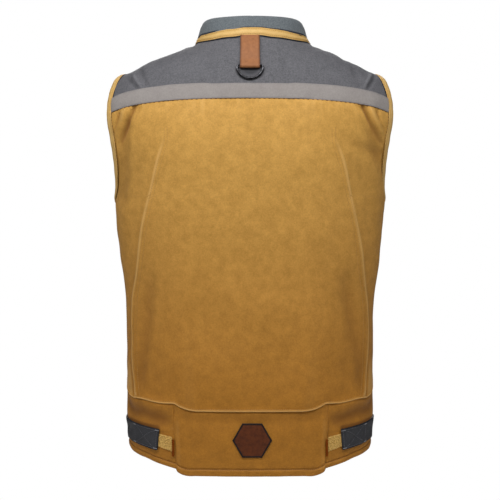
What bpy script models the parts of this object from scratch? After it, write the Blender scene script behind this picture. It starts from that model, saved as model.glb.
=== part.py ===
"""Field vest in its hollow worn form, with no wearer.

Metres, +Z up. The back faces -Y, the front faces +Y and +X is the wearer's right.
The origin is the middle of the neck opening, level with the top of the shoulder seams.

Each cut piece is a sheet that a function bends round the body. The sheet starts as a
flat grid, gets its wall by extrusion, and every point is then read from the function.
"""

import math

import bmesh
import bpy
from mathutils import Matrix, Vector

# Wall thicknesses and gaps
CANVAS = 0.0018
COLLAR_CLOTH = 0.0024
TAPE = 0.0010
WEBBING = 0.0018
LEATHER = 0.0018
GAP = 0.0003
HALF_GAP = GAP / 2

# Cloth run of half a section, the share of it that half a seam gap takes, and the columns
# next to the side edges and to the zip's slot
HALF_SECTION_RUN = 0.28
SEAM_TRIM = HALF_GAP / HALF_SECTION_RUN
EDGE_COLUMN = 0.962
ZIP_COLUMN = 0.064

# The ring of body sections, from hem to chest. Each row is half a section: the height,
# the side edge's x and y, the middle's y, and how square the bend between them is.
# The side edge is the side seam up to the underarm, and the armhole above it.
UNDERARM = -0.2594
BACK_SECTIONS = (
    dict(name="tail", height=-0.7100, edge_x=0.1950, edge_y=0.0, middle_y=-0.1155, square=2.30),
    dict(name="hem", height=-0.6600, edge_x=0.1985, edge_y=0.0, middle_y=-0.1195, square=2.30),
    dict(name="tabs", height=-0.6200, edge_x=0.2030, edge_y=0.0, middle_y=-0.1220, square=2.30),
    dict(name="seat", height=-0.5700, edge_x=0.2027, edge_y=0.0, middle_y=-0.1240, square=2.32),
    dict(name="hip", height=-0.5100, edge_x=0.2025, edge_y=0.0, middle_y=-0.1235, square=2.34),
    dict(name="waist", height=-0.4600, edge_x=0.2033, edge_y=0.0, middle_y=-0.1220, square=2.34),
    dict(name="loin", height=-0.4080, edge_x=0.2067, edge_y=0.0, middle_y=-0.1225, square=2.34),
    dict(name="ribs", height=-0.3550, edge_x=0.2141, edge_y=0.0, middle_y=-0.1250, square=2.36),
    dict(name="chest", height=-0.3020, edge_x=0.2199, edge_y=0.0, middle_y=-0.1290, square=2.38),
    dict(name="underarm", height=UNDERARM, edge_x=0.2220, edge_y=0.0, middle_y=-0.1320, square=2.40),
    dict(name="scoop", height=-0.2540, edge_x=0.2213, edge_y=-0.0180, middle_y=-0.1323, square=2.40),
    dict(name="low hole", height=-0.2367, edge_x=0.2187, edge_y=-0.0360, middle_y=-0.1333, square=2.40),
    dict(name="hole", height=-0.2113, edge_x=0.2190, edge_y=-0.0500, middle_y=-0.1345, square=2.42),
    dict(name="blade", height=-0.1860, edge_x=0.2215, edge_y=-0.0590, middle_y=-0.1350, square=2.44),
    dict(name="mid blade", height=-0.1615, edge_x=0.2248, edge_y=-0.0640, middle_y=-0.1345, square=2.46),
    dict(name="top blade", height=-0.1300, edge_x=0.2298, edge_y=-0.0650, middle_y=-0.1322, square=2.46),
    dict(name="band", height=-0.1080, edge_x=0.2300, edge_y=-0.0600, middle_y=-0.1290, square=2.44),
    dict(name="band top", height=-0.0858, edge_x=0.2265, edge_y=-0.0470, middle_y=-0.1240, square=2.42),
    dict(name="cap", height=-0.0700, edge_x=0.2215, edge_y=-0.0300, middle_y=-0.1195, square=2.40),
)
FRONT_SECTIONS = (
    dict(name="below", height=-0.7100, edge_x=0.1950, edge_y=0.0, middle_y=0.1100, square=2.30),
    dict(name="hem", height=-0.6600, edge_x=0.1985, edge_y=0.0, middle_y=0.1130, square=2.30),
    dict(name="tabs", height=-0.6200, edge_x=0.2030, edge_y=0.0, middle_y=0.1150, square=2.30),
    dict(name="belly", height=-0.5700, edge_x=0.2027, edge_y=0.0, middle_y=0.1155, square=2.32),
    dict(name="hip", height=-0.5100, edge_x=0.2025, edge_y=0.0, middle_y=0.1150, square=2.34),
    dict(name="waist", height=-0.4600, edge_x=0.2033, edge_y=0.0, middle_y=0.1145, square=2.34),
    dict(name="loin", height=-0.4080, edge_x=0.2067, edge_y=0.0, middle_y=0.1160, square=2.34),
    dict(name="ribs", height=-0.3550, edge_x=0.2141, edge_y=0.0, middle_y=0.1195, square=2.36),
    dict(name="chest", height=-0.3020, edge_x=0.2199, edge_y=0.0, middle_y=0.1240, square=2.38),
    dict(name="underarm", height=UNDERARM, edge_x=0.2220, edge_y=0.0, middle_y=0.1270, square=2.40),
    dict(name="scoop", height=-0.2540, edge_x=0.2212, edge_y=0.0160, middle_y=0.1273, square=2.40),
    dict(name="low hole", height=-0.2367, edge_x=0.2180, edge_y=0.0320, middle_y=0.1280, square=2.40),
    dict(name="hole", height=-0.2113, edge_x=0.2135, edge_y=0.0450, middle_y=0.1275, square=2.40),
    dict(name="breast", height=-0.1860, edge_x=0.2095, edge_y=0.0530, middle_y=0.1260, square=2.40),
    dict(name="mid breast", height=-0.1615, edge_x=0.2068, edge_y=0.0575, middle_y=0.1230, square=2.40),
    dict(name="top breast", height=-0.1300, edge_x=0.2052, edge_y=0.0580, middle_y=0.1165, square=2.40),
    dict(name="collarbone", height=-0.0957, edge_x=0.2065, edge_y=0.0480, middle_y=0.1050, square=2.40),
    dict(name="cap", height=-0.0700, edge_x=0.2095, edge_y=0.0280, middle_y=0.0940, square=2.40),
)

# Neck opening and shoulder seams
NECK_HALF_WIDTH = 0.0930
NECK_BACK = 0.0860
NECK_FRONT = 0.0880
NECK_BACK_HEIGHT = 0.0030
NECK_FRONT_DROP = 0.0660
NECK_DROP_POWER = 3.5
SHOULDER_ANGLE = math.radians(86)
NECK_SHARE = 0.5
SHOULDER_TIP = Vector((0.2130, -0.0020, -0.0560))

# Seams across the back: heights at the middle and how far they fall towards the armholes
BAND_LOW = -0.1010
BAND_LOW_FALL = 0.0223
BAND_LOW_POWER = 2.6
BAND_TOP = -0.0757
BAND_TOP_FALL = 0.0234
BAND_TOP_POWER = 2.4
YOKE_SEAM_ABOVE_BAND_EDGE = 0.0030
YOKE_LOFT = 0.30
YOKE_LOW_TRIM = 0.0014
YOKE_TOP_TRIM = 0.0017
YOKE_NECK_PITCH = math.radians(50)
YOKE_SHOULDER_PITCH = math.radians(1)
PITCH_BLEND = (0.12, 0.62)
SHOULDER_LEAN = 0.35

# Front sheets: where they leave the sections for the shoulder, and the zip's slot
FRONT_HEM = -0.6600
FRONT_LOFT = 0.80
FRONT_LOFT_MIDDLE = -0.1180
FRONT_LOFT_EDGE = -0.0957
FRONT_TOP_TRIM = 0.0012
FRONT_NECK_PITCH = math.radians(68)
ZIP_SLOT_HALF = 0.0045
ZIP_TAPE_HALF = 0.0170
ZIP_TAPE_GAP = 0.0006

# Pouch seam, hem and tail, by share of the way from the middle to the side seam
SEAM_MIDDLE = -0.5980
SEAM_STEP_SHARE = 0.250
SEAM_STEP_POWER = 2.2
SEAM_SIDE_STEP = 0.0116
SEAM_FLANK_STEP = 0.0060
SEAM_FLANK_BLEND = (0.45, 0.65)
SEAM_SIDE_RISE = 0.0296
SEAM_RISE_FROM = 0.70
SEAM_RISE_POWER = 1.5
TAIL_SHARE = 0.386
TAIL_CORNER_SHARE = 0.290
TAIL_DROP = 0.0100
HEM_SIDE = -0.6600
HEM_FALL = 0.0326
HEM_FALL_POWER = 1.3

# Side tabs and the soft loop patches that they close on
TAB_END_SHARE = 0.478
TAB_END_SLANT = 0.026
TAB_FAR_SHARE = 1.30
TAB_HEIGHT = -0.6300
TAB_FALL = 0.0144
TAB_FALL_POWER = 1.3
TAB_WIDTH = 0.0320
PATCH_TAIL_SPACE = 0.0040
PATCH_TAB_SPACE = 0.0014
PATCH_TOP = (-0.6413, -0.6366)
PATCH_BOTTOM = (-0.6644, -0.6558)
PATCH_CLOTH = 0.0014

# Badge: a hexagon with flat top and bottom on the tail
BADGE_RADIUS = 0.0308
BADGE_X = 0.0036
BADGE_HEIGHT = -0.6450

# Collar and the tape at its foot
COLLAR_TOP_HALF_WIDTH = 0.0853
COLLAR_TOP_BACK = 0.0750
COLLAR_TOP_FRONT = 0.0750
COLLAR_TOP_HEIGHT = 0.0365
COLLAR_FRONT_DROP = 0.0650
COLLAR_DROP_POWER = 2.5
COLLAR_STAND = 0.0380
NECK_TAPE_SHARE = 0.38

# Armhole binding, folded over the edge
BINDING_WIDTH = 0.0075
BINDING_GAP = 0.0008
BINDING_INNER_GAP = 0.0016
BAND_INSET = 0.0122
BAND_LAST_COLUMN = 0.01

# Hang loop of folded leather, and the ring that its fold carries
LOOP_HALF_WIDTH = 0.0155
LOOP_START = 0.0025
LOOP_EYE_DOWN = 0.0580
LOOP_EYE_TAPER = 0.0080
LOOP_FOLD_GAP = 0.0004
EYE_TOP_ANGLE = math.radians(75)
RING_WIRE = 0.0016
RING_CLEARANCE = 0.00035
RING_REST = 0.0007
RING_HALF_WIDTH = 0.0207
RING_DEPTH = 0.0222
RING_CORNER = 0.0030

# Zip tapes' ends, slider and pull; a run of 1 is the neck seam and 2 the collar's top
ZIP_FOOT_RUN = 0.004
ZIP_BELOW_NECK_RUN = 0.985
ZIP_ABOVE_NECK_RUN = 1.04
ZIP_TOP_RUN = 1.97
SLIDER_PLACE = 0.74
SLIDER_SIZE = Vector((0.0080, 0.0032, 0.0110))
SLIDER_SINK = 0.0024
SLIDER_ROUNDING = 0.0008
BRIDGE_SINK = 0.0006
BRIDGE_INNER = 0.00115
BRIDGE_OUTER = 0.00260
BRIDGE_HALF_WIDTH = 0.00075
PULL_BAR = 0.0007
PULL_HALF_WIDTH = 0.0034
PULL_LENGTH = 0.0250
PULL_EYE_HALF = 0.0019
PULL_EYE_DEPTH = 0.0026
PULL_ROUNDING = 0.0012
PULL_EYE_ROUNDING = 0.0005

# Large folds of the cloth: the line from one end to the other in x and height on the
# right half, its half breadth, and how far it lifts the cloth (below zero, a hollow)
BACK_FOLDS = (
    dict(name="pouch edge high", x=(0.146, 0.184), height=(-0.205, -0.350), breadth=0.014, lift=0.0024),
    dict(name="pouch edge low", x=(0.188, 0.184), height=(-0.350, -0.570), breadth=0.012, lift=0.0026),
    dict(name="pouch hollow", x=(0.158, 0.150), height=(-0.400, -0.560), breadth=0.022, lift=-0.0036),
    dict(name="armhole trough", x=(0.182, 0.205), height=(-0.125, -0.190), breadth=0.011, lift=-0.0034),
    dict(name="blade fullness", x=(0.120, 0.165), height=(-0.135, -0.260), breadth=0.026, lift=0.0022),
)
FRONT_FOLDS = (
    dict(name="breast hollow", x=(0.160, 0.186), height=(-0.150, -0.230), breadth=0.014, lift=-0.0028),
    dict(name="breast fullness", x=(0.090, 0.130), height=(-0.170, -0.290), breadth=0.028, lift=0.0022),
    dict(name="waist hollow", x=(0.120, 0.138), height=(-0.400, -0.540), breadth=0.026, lift=-0.0030),
    dict(name="zip fullness", x=(0.045, 0.040), height=(-0.260, -0.560), breadth=0.024, lift=0.0018),
)

# The folds push sideways by this share of x, and fade out under the yoke's seam
FOLD_SIDEWAYS = 0.35
FOLD_FADE = (-0.135, -0.118)

# Row heights at the side edge above the underarm, and one more on each side of the body
HOLE_HEIGHTS = (-0.2540, -0.2455, -0.2367, -0.2240, -0.2113, -0.1860, -0.1615)
BLADE_ROW = -0.1400
BREAST_ROW = -0.1300

STEP = 1e-4


def mix(start, end, share):
    return start + (end - start) * share


def ease(low, high, value):
    """0 below low, 1 above high, and a soft step between them."""
    share = min(max((value - low) / (high - low), 0.0), 1.0)
    return share * share * (3 - 2 * share)


def hermite(start, start_slope, end, end_slope, share):
    square = share * share
    cube = square * share
    return (start * (2 * cube - 3 * square + 1) + start_slope * (cube - 2 * square + share)
            + end * (3 * square - 2 * cube) + end_slope * (cube - square))


def read_column(table, column, height):
    """One column of a section table at any height, with no overshoot between rows."""
    rows = [(row["height"], row[column]) for row in table]
    rows.sort()
    height = min(max(height, rows[0][0]), rows[-1][0])
    spans = [b[0] - a[0] for a, b in zip(rows, rows[1:])]
    grades = [(b[1] - a[1]) / span for a, b, span in zip(rows, rows[1:], spans)]
    slopes = [grades[0]]
    for before, after in zip(grades, grades[1:]):
        slopes.append(2 * before * after / (before + after) if before * after > 0 else 0.0)
    slopes.append(grades[-1])
    place = 0
    while place < len(spans) - 1 and height > rows[place + 1][0]:
        place += 1
    span = spans[place]
    share = (height - rows[place][0]) / span
    return hermite(rows[place][1], slopes[place] * span, rows[place + 1][1],
                   slopes[place + 1] * span, share)


def fold_lift(folds, x, height):
    """How far the folds push the cloth outwards here."""
    lift = 0.0
    for fold in folds:
        (x_from, x_to), (high, low) = fold["x"], fold["height"]
        along = min(max((high - height) / (high - low), 0.0), 1.0)
        beyond = max(height - high, low - height, 0.0)
        across = (abs(x) - mix(x_from, x_to, along)) / fold["breadth"]
        fade = (beyond / (2 * fold["breadth"])) ** 2
        lift += fold["lift"] * math.exp(-across * across - fade)
    return lift


def section_point(table, share, height):
    """A point of the body ring; share runs from 0 at the middle to 1 at the side edge."""
    edge_x = read_column(table, "edge_x", height)
    middle_y = read_column(table, "middle_y", height)
    square = read_column(table, "square", height)
    edge_depth = abs(read_column(table, "edge_y", height) / middle_y)
    reach = (1 - edge_depth ** square) ** (1 / square)
    turn = math.atan2(reach, edge_depth) * share
    across = math.sin(turn)
    forward = math.cos(turn)
    radius = (abs(across) ** square + abs(forward) ** square) ** (-1 / square)
    return Vector((edge_x / reach * radius * across, middle_y * radius * forward, height))


def torso_back(share, height):
    return section_point(BACK_SECTIONS, share, height)


def torso_front(share, height):
    return section_point(FRONT_SECTIONS, share, height)


def neck_point(angle):
    """The neck seam; angle 0 is the middle of the back and pi the middle of the front."""
    depth = NECK_BACK if abs(angle) < math.pi / 2 else NECK_FRONT
    turn = (1 - math.cos(angle)) / 2
    height = NECK_BACK_HEIGHT - NECK_FRONT_DROP * turn ** NECK_DROP_POWER
    return Vector((NECK_HALF_WIDTH * math.sin(angle), -depth * math.cos(angle), height))


def top_edge(share, front):
    """Half the neck seam, then the shoulder seam out to its tip."""
    side = math.copysign(1.0, share)
    share = abs(share)
    if share <= NECK_SHARE:
        start = math.pi if front else 0.0
        point = neck_point(mix(start, SHOULDER_ANGLE, share / NECK_SHARE))
    else:
        point = neck_point(SHOULDER_ANGLE).lerp(SHOULDER_TIP, (share - NECK_SHARE) / (1 - NECK_SHARE))
    return Vector((point.x * side, point.y, point.z))


def top_slope(share, front):
    """The way the cloth runs as it reaches the top edge, a unit vector."""
    side = math.copysign(1.0, share)
    share = abs(share)
    start = FRONT_NECK_PITCH if front else YOKE_NECK_PITCH
    pitch = mix(start, YOKE_SHOULDER_PITCH, ease(*PITCH_BLEND, share))
    lean = SHOULDER_LEAN * ease(NECK_SHARE, 1.0, share)
    slope = Vector((-side * lean * math.cos(pitch), math.cos(pitch), math.sin(pitch)))
    if front:
        slope.x, slope.y = -slope.x, -slope.y
    return slope.normalized()


def loft_to_top(sheet, share, start_height, front, rise):
    """From a section up and over to the neck and shoulder seams; rise runs 0 to 1."""
    start = sheet(share, start_height)
    climb = (sheet(share, start_height) - sheet(share, start_height - STEP)).normalized()
    end = top_edge(share, front)
    reach = (end - start).length
    return hermite(start, climb * reach, end, top_slope(share, front) * reach, rise)


def band_low(share):
    return BAND_LOW - BAND_LOW_FALL * abs(share) ** BAND_LOW_POWER


def band_top(share):
    return BAND_TOP - BAND_TOP_FALL * abs(share) ** BAND_TOP_POWER


def yoke_seam(share):
    return band_low(share) + YOKE_SEAM_ABOVE_BAND_EDGE


def pouch_seam(share):
    """The folded lower edge of the back, level in the middle and higher at the sides."""
    share = abs(share)
    step = (share - SEAM_STEP_SHARE) / (TAIL_SHARE - SEAM_STEP_SHARE)
    height = SEAM_MIDDLE + SEAM_SIDE_STEP * min(max(step, 0.0), 1.0) ** SEAM_STEP_POWER
    height += SEAM_FLANK_STEP * ease(*SEAM_FLANK_BLEND, share)
    beyond = max(share - SEAM_RISE_FROM, 0.0) / (1 - SEAM_RISE_FROM)
    return height + SEAM_SIDE_RISE * beyond ** SEAM_RISE_POWER


def hem_edge(share):
    """The hem, falling from the side seam to the tail with its rounded corners."""
    share = abs(share)
    inward = (1 - max(share, TAIL_SHARE)) / (1 - TAIL_SHARE)
    height = HEM_SIDE - HEM_FALL * inward ** HEM_FALL_POWER
    corner = (share - TAIL_CORNER_SHARE) / (TAIL_SHARE - TAIL_CORNER_SHARE)
    return height - TAIL_DROP * math.sqrt(1 - min(max(corner, 0.0), 1.0) ** 2)


def flat_normal(point):
    """Sideways and outwards from the body's middle line, for the folds alone."""
    return Vector((point.x * FOLD_SIDEWAYS, point.y, 0.0)).normalized()


def back_sheet(share, height):
    point = torso_back(share, height)
    fade = 1 - ease(*FOLD_FADE, height + BAND_LOW - band_low(share))
    return point + flat_normal(point) * fold_lift(BACK_FOLDS, point.x, point.z) * fade


def yoke_sheet(share, rise):
    if rise <= YOKE_LOFT:
        return torso_back(share, mix(yoke_seam(share), band_top(share), rise / YOKE_LOFT))
    return loft_to_top(torso_back, share, band_top(share), False,
                       (rise - YOKE_LOFT) / (1 - YOKE_LOFT))


def front_loft_start(share):
    return mix(FRONT_LOFT_MIDDLE, FRONT_LOFT_EDGE, share * share)


def front_sheet(share, rise):
    if rise <= FRONT_LOFT:
        height = mix(FRONT_HEM, front_loft_start(share), rise / FRONT_LOFT)
        point = torso_front(share, height)
        return point + flat_normal(point) * fold_lift(FRONT_FOLDS, point.x, point.z)
    return loft_to_top(torso_front, share, front_loft_start(share), True,
                       (rise - FRONT_LOFT) / (1 - FRONT_LOFT))


def front_rise(height):
    """The rise of the front's row that meets the side edge at this height."""
    return FRONT_LOFT * (height - FRONT_HEM) / (FRONT_LOFT_EDGE - FRONT_HEM)


def share_at_x(sheet, x, row):
    """The share at which a row of a sheet passes x."""
    low, high = 0.0, 0.3
    for _ in range(30):
        middle = (low + high) / 2
        if sheet(middle, row).x < x:
            low = middle
        else:
            high = middle
    return (low + high) / 2


def side_ring(turn, height):
    """Round the side: turn 0 is the middle of the back, 1 the side seam, 2 the zip."""
    if abs(turn) <= 1:
        return torso_back(turn, height)
    return torso_front(math.copysign(2 - abs(turn), turn), height)


def collar_sheet(angle, rise):
    """The stand collar: angle round the neck, rise from its seam to its top edge."""
    foot = neck_point(angle)
    depth = COLLAR_TOP_BACK if abs(angle) < math.pi / 2 else COLLAR_TOP_FRONT
    turn = (1 - math.cos(angle)) / 2
    top = Vector((COLLAR_TOP_HALF_WIDTH * math.sin(angle), -depth * math.cos(angle),
                  COLLAR_TOP_HEIGHT - COLLAR_FRONT_DROP * turn ** COLLAR_DROP_POWER))
    return foot.lerp(top, rise)


def surface_frame(sheet, a, b, facing):
    """A point of a sheet and its outward normal, from small steps both ways."""
    point = sheet(a, b)
    along = sheet(a + STEP, b) - sheet(a - STEP, b)
    up = sheet(a, b + STEP) - sheet(a, b - STEP)
    return point, along.cross(up).normalized() * facing


def steps(start, end, count):
    return [mix(start, end, index / count) for index in range(count + 1)]


def both_sides(half):
    """A list of shares that starts at 0, with the same shares on the other side."""
    return [-share for share in reversed(half[1:])] + half


def half_back_columns(limit):
    """Shares over half the back, closer at the sides, with one on each seam's corner."""
    middle = steps(0.0, TAIL_CORNER_SHARE, 4) + steps(TAIL_CORNER_SHARE, TAIL_SHARE, 4)[1:]
    shoulder = steps(TAIL_SHARE, NECK_SHARE, 2)[1:] + steps(NECK_SHARE, EDGE_COLUMN, 10)[1:]
    return middle + shoulder + [limit]


def half_front_columns(start):
    """Shares across one front, from the zip's slot to the side edge."""
    inner = [start] + steps(ZIP_COLUMN, NECK_SHARE, 5)
    outer = steps(NECK_SHARE, EDGE_COLUMN, 5)[1:]
    return inner + outer + [1 - SEAM_TRIM]


def srgb(colour):
    """Linear colour from an sRGB hex value."""
    parts = [int(colour[place:place + 2], 16) / 255 for place in (1, 3, 5)]
    linear = [part / 12.92 if part <= 0.04045 else ((part + 0.055) / 1.055) ** 2.4 for part in parts]
    return (*linear, 1.0)


def finish(name, mesh, colour, roughness, metallic=0.0):
    """Put a mesh in the collection as one named object with a material of its own."""
    material = bpy.data.materials.new(name + "_material")
    material.use_nodes = True
    shader = material.node_tree.nodes["Principled BSDF"]
    shader.inputs["Base Color"].default_value = srgb(colour)
    shader.inputs["Roughness"].default_value = roughness
    shader.inputs["Metallic"].default_value = metallic
    mesh.materials.clear()
    mesh.materials.append(material)
    mesh.shade_smooth()
    mesh.set_sharp_from_angle(angle=math.radians(40))
    thing = bpy.data.objects.new(name, mesh)
    bpy.data.collections["field_vest"].objects.link(thing)
    return thing


def bent_wall(name, place, columns, rows, thickness, look, lift=0.0):
    """A flat grid given a wall and bent: place(i, j) gives a point and its normal."""
    across = columns - 1
    upward = rows - 1
    maker = bmesh.new()
    bmesh.ops.create_grid(maker, x_segments=across, y_segments=upward, size=0.5)
    wall = bmesh.ops.extrude_face_region(maker, geom=maker.faces[:])
    inner = {item for item in wall["geom"] if isinstance(item, bmesh.types.BMVert)}
    for vert in maker.verts:
        point, normal = place(round((vert.co.x + 0.5) * across), round((vert.co.y + 0.5) * upward))
        vert.co = point + normal * (lift - thickness if vert in inner else lift)
    bmesh.ops.recalc_face_normals(maker, faces=maker.faces[:])
    mesh = bpy.data.meshes.new(name)
    maker.to_mesh(mesh)
    maker.free()
    return finish(name, mesh, *look)


def sheet_wall(name, sheet, columns, row_at, rows, thickness, look, lift=0.0, facing=1.0):
    """A wall on a sheet; row_at(share, row) turns a row's number into the sheet's own."""
    def place(i, j):
        return surface_frame(sheet, columns[i], row_at(columns[i], rows[j]), facing)
    return bent_wall(name, place, len(columns), len(rows), thickness, look, lift)

# Colour, roughness and, for metal, how metallic
CANVAS_LOOK = ("#AF7D3A", 0.82)
TAIL_LOOK = ("#8C6227", 0.82)
YOKE_LOOK = ("#6B6A6C", 0.85)
BAND_LOOK = ("#A09A97", 0.55)
COLLAR_LOOK = ("#75797C", 0.95)
BINDING_LOOK = ("#E1B96F", 0.75)
WEBBING_LOOK = ("#343436", 0.80)
PATCH_LOOK = ("#A37F44", 0.95)
BADGE_LOOK = ("#4E2814", 0.60)
LOOP_LOOK = ("#A9744D", 0.60)
METAL_LOOK = ("#2E2E30", 0.35, 1.0)
ZIP_TAPE_LOOK = ("#3A3A3C", 0.85)


def build_back():
    columns = both_sides(half_back_columns(1 - SEAM_TRIM))
    seam_end = pouch_seam(1)
    heights = steps(seam_end, UNDERARM, 6) + list(HOLE_HEIGHTS) + [BLADE_ROW, yoke_seam(1)]
    shares = [(height - seam_end) / (yoke_seam(1) - seam_end) for height in heights]

    def height_at(share, row):
        return mix(pouch_seam(share) + HALF_GAP, yoke_seam(share) - HALF_GAP, row)

    sheet_wall("back_panel", back_sheet, columns, height_at, shares, CANVAS, CANVAS_LOOK)


def yoke_rows():
    return steps(0.0, YOKE_LOFT, 2) + steps(YOKE_LOFT, 1.0, 6)[1:]


def build_yoke():
    columns = both_sides(half_back_columns(1 - SEAM_TRIM))

    def rise_at(share, row):
        return mix(YOKE_LOW_TRIM, 1 - YOKE_TOP_TRIM, row)

    sheet_wall("back_yoke", yoke_sheet, columns, rise_at, yoke_rows(), CANVAS, YOKE_LOOK)

    edge = band_top(1)
    across = (torso_back(1, edge) - torso_back(1 - STEP, edge)).length / STEP
    end = 1 - BAND_INSET / across
    inner = [share for share in half_back_columns(1.0) if share < end - BAND_LAST_COLUMN]

    def band_height(share, row):
        return mix(band_low(share), band_top(share), row)

    sheet_wall("reflective_band", torso_back, both_sides(inner + [end]), band_height,
               steps(0, 1, 2), TAPE, BAND_LOOK, lift=GAP + TAPE)


def build_hem():
    def height_at(share, row):
        return mix(hem_edge(share), pouch_seam(share) - HALF_GAP, row)

    shares = half_back_columns(1 - SEAM_TRIM)
    corner = shares.index(TAIL_SHARE)
    tail = both_sides(shares[:corner] + [TAIL_SHARE - SEAM_TRIM])
    flank = [TAIL_SHARE + SEAM_TRIM] + shares[corner + 1:]
    sheet_wall("tail_panel", torso_back, tail, height_at, steps(0, 1, 6), CANVAS, TAIL_LOOK)
    for side, word in ((-1, "left"), (1, "right")):
        sheet_wall("hem_side_" + word, torso_back, [side * share for share in flank], height_at,
                   steps(0, 1, 5), CANVAS, CANVAS_LOOK)


def front_row_list():
    body = steps(FRONT_HEM, UNDERARM, 7) + list(HOLE_HEIGHTS) + [BREAST_ROW, FRONT_LOFT_EDGE]
    return [front_rise(height) for height in body] + steps(FRONT_LOFT, 1.0, 5)[1:]


def build_fronts():
    rows = front_row_list()
    rows[-1] = 1 - FRONT_TOP_TRIM
    for side, word in ((-1, "left"), (1, "right")):
        starts = [share_at_x(front_sheet, ZIP_SLOT_HALF, row) for row in rows]

        def place(i, j):
            share = half_front_columns(starts[j])[i]
            return surface_frame(front_sheet, side * share, rows[j], -1.0)

        count = len(half_front_columns(0.0))
        bent_wall("front_" + word, place, count, len(rows), CANVAS, CANVAS_LOOK)


def collar_angles(rise):
    """The neck's stations, the same ones that the yoke and the fronts meet it at."""
    slot = math.asin(ZIP_SLOT_HALF / collar_sheet(math.pi / 2, rise).x)
    back = [share for share in half_back_columns(1.0) if share <= NECK_SHARE]
    front = [share for share in half_front_columns(0.0)[1:] if share < NECK_SHARE]
    half = [share / NECK_SHARE * SHOULDER_ANGLE for share in back]
    half += [mix(math.pi, SHOULDER_ANGLE, share / NECK_SHARE) for share in reversed(front)]
    return both_sides(half + [math.pi - slot])


def build_collar():
    lowest = GAP / COLLAR_STAND
    rows = steps(lowest, 1.0, 4)

    def place(i, j):
        return surface_frame(collar_sheet, collar_angles(rows[j])[i], rows[j], 1.0)

    count = len(collar_angles(0.0))
    bent_wall("collar", place, count, len(rows), COLLAR_CLOTH, COLLAR_LOOK)

    tape_rows = steps(lowest, NECK_TAPE_SHARE, 2)

    def tape_place(i, j):
        return surface_frame(collar_sheet, collar_angles(tape_rows[j])[i], tape_rows[j], 1.0)

    bent_wall("neck_tape", tape_place, count, len(tape_rows), TAPE, BINDING_LOOK, lift=GAP + TAPE)


def armhole_stations():
    """Sheet, row and facing at each station, once round the right armhole."""
    back = [(back_sheet, height, 1.0) for height in (UNDERARM,) + HOLE_HEIGHTS + (BLADE_ROW,)]
    yoke = [(yoke_sheet, row, 1.0) for row in yoke_rows()]
    front = [(front_sheet, row, -1.0) for row in front_row_list()[:-1]
             if row > front_rise(UNDERARM) + STEP]
    return back + yoke + front[::-1]


def binding_frames():
    """At each station: the edge and its normal and way in, then the same at the inner end."""
    stations = armhole_stations()
    edges = [surface_frame(sheet, 1.0, row, facing) for sheet, row, facing in stations]
    count = len(edges)
    frames = []
    for index, (sheet, row, facing) in enumerate(stations):
        point, normal = edges[index]
        run = (edges[(index + 1) % count][0] - edges[index - 1][0]).normalized()
        into = normal.cross(run).normalized()
        along = (sheet(1.0, row) - sheet(1 - STEP, row)) / STEP
        up = (sheet(1.0, row) - sheet(1.0, row - STEP)) / STEP
        across = up.cross(normal)
        share = into.dot(across) / along.dot(across)
        across = along.cross(normal)
        rise = into.dot(across) / up.dot(across)
        end, end_normal = surface_frame(sheet, 1 + share * BINDING_WIDTH,
                                        row + rise * BINDING_WIDTH, facing)
        frames.append((point, normal, into, end, end_normal))
    return frames


def binding_ring(frame):
    """The folded tape's section at a station: round its outside, and back inside."""
    point, normal, into, end, end_normal = frame
    fold = point - into * (BINDING_GAP + TAPE)
    inside = point - into * BINDING_GAP
    inner_face = CANVAS + BINDING_INNER_GAP
    return (
        end + end_normal * (BINDING_GAP + TAPE),
        fold + normal * (BINDING_GAP + TAPE),
        fold - normal * (inner_face + TAPE),
        end - end_normal * (inner_face + TAPE),
        end - end_normal * inner_face,
        inside - normal * inner_face,
        inside + normal * BINDING_GAP,
        end + end_normal * BINDING_GAP,
    )


def build_bindings():
    for side, word in ((-1, "left"), (1, "right")):
        maker = bmesh.new()
        rings = []
        for frame in binding_frames():
            rings.append([maker.verts.new((spot.x * side, spot.y, spot.z))
                          for spot in binding_ring(frame)])
        for ring, following in zip(rings, rings[1:] + rings[:1]):
            for k in range(len(ring)):
                after = (k + 1) % len(ring)
                maker.faces.new((ring[k], ring[after], following[after], following[k]))
        bmesh.ops.recalc_face_normals(maker, faces=maker.faces[:])
        mesh = bpy.data.meshes.new("armhole_binding_" + word)
        maker.to_mesh(mesh)
        maker.free()
        finish("armhole_binding_" + word, mesh, *BINDING_LOOK)


def tab_middle(turn):
    inward = max(1 - abs(turn), 0.0) / (1 - TAB_END_SHARE)
    return TAB_HEIGHT - TAB_FALL * inward ** TAB_FALL_POWER


def tab_end(up):
    """The share of a tab's cut end, which leans out towards its lower corner."""
    return TAB_END_SHARE + TAB_END_SLANT * (0.5 - up)


def build_tabs():
    columns = 22
    patch_start = TAIL_SHARE + PATCH_TAIL_SPACE
    for side, word in ((-1, "left"), (1, "right")):
        def tab_place(i, j):
            up = j / 3 - 0.5
            turn = mix(tab_end(up), TAB_FAR_SHARE, i / columns) * side
            return surface_frame(side_ring, turn, tab_middle(turn) + up * TAB_WIDTH, 1.0)

        bent_wall("side_tab_" + word, tab_place, columns + 1, 4, WEBBING, WEBBING_LOOK,
                  lift=GAP + WEBBING)

        def patch_place(i, j):
            along = i / 3
            height = mix(mix(*PATCH_BOTTOM, along), mix(*PATCH_TOP, along), j / 2)
            up = (height - tab_middle(TAB_END_SHARE)) / TAB_WIDTH
            share = mix(patch_start, tab_end(up) - PATCH_TAB_SPACE, along)
            return surface_frame(torso_back, share * side, height, 1.0)

        bent_wall("loop_patch_" + word, patch_place, 4, 3, PATCH_CLOTH, PATCH_LOOK,
                  lift=GAP + PATCH_CLOTH)


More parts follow.
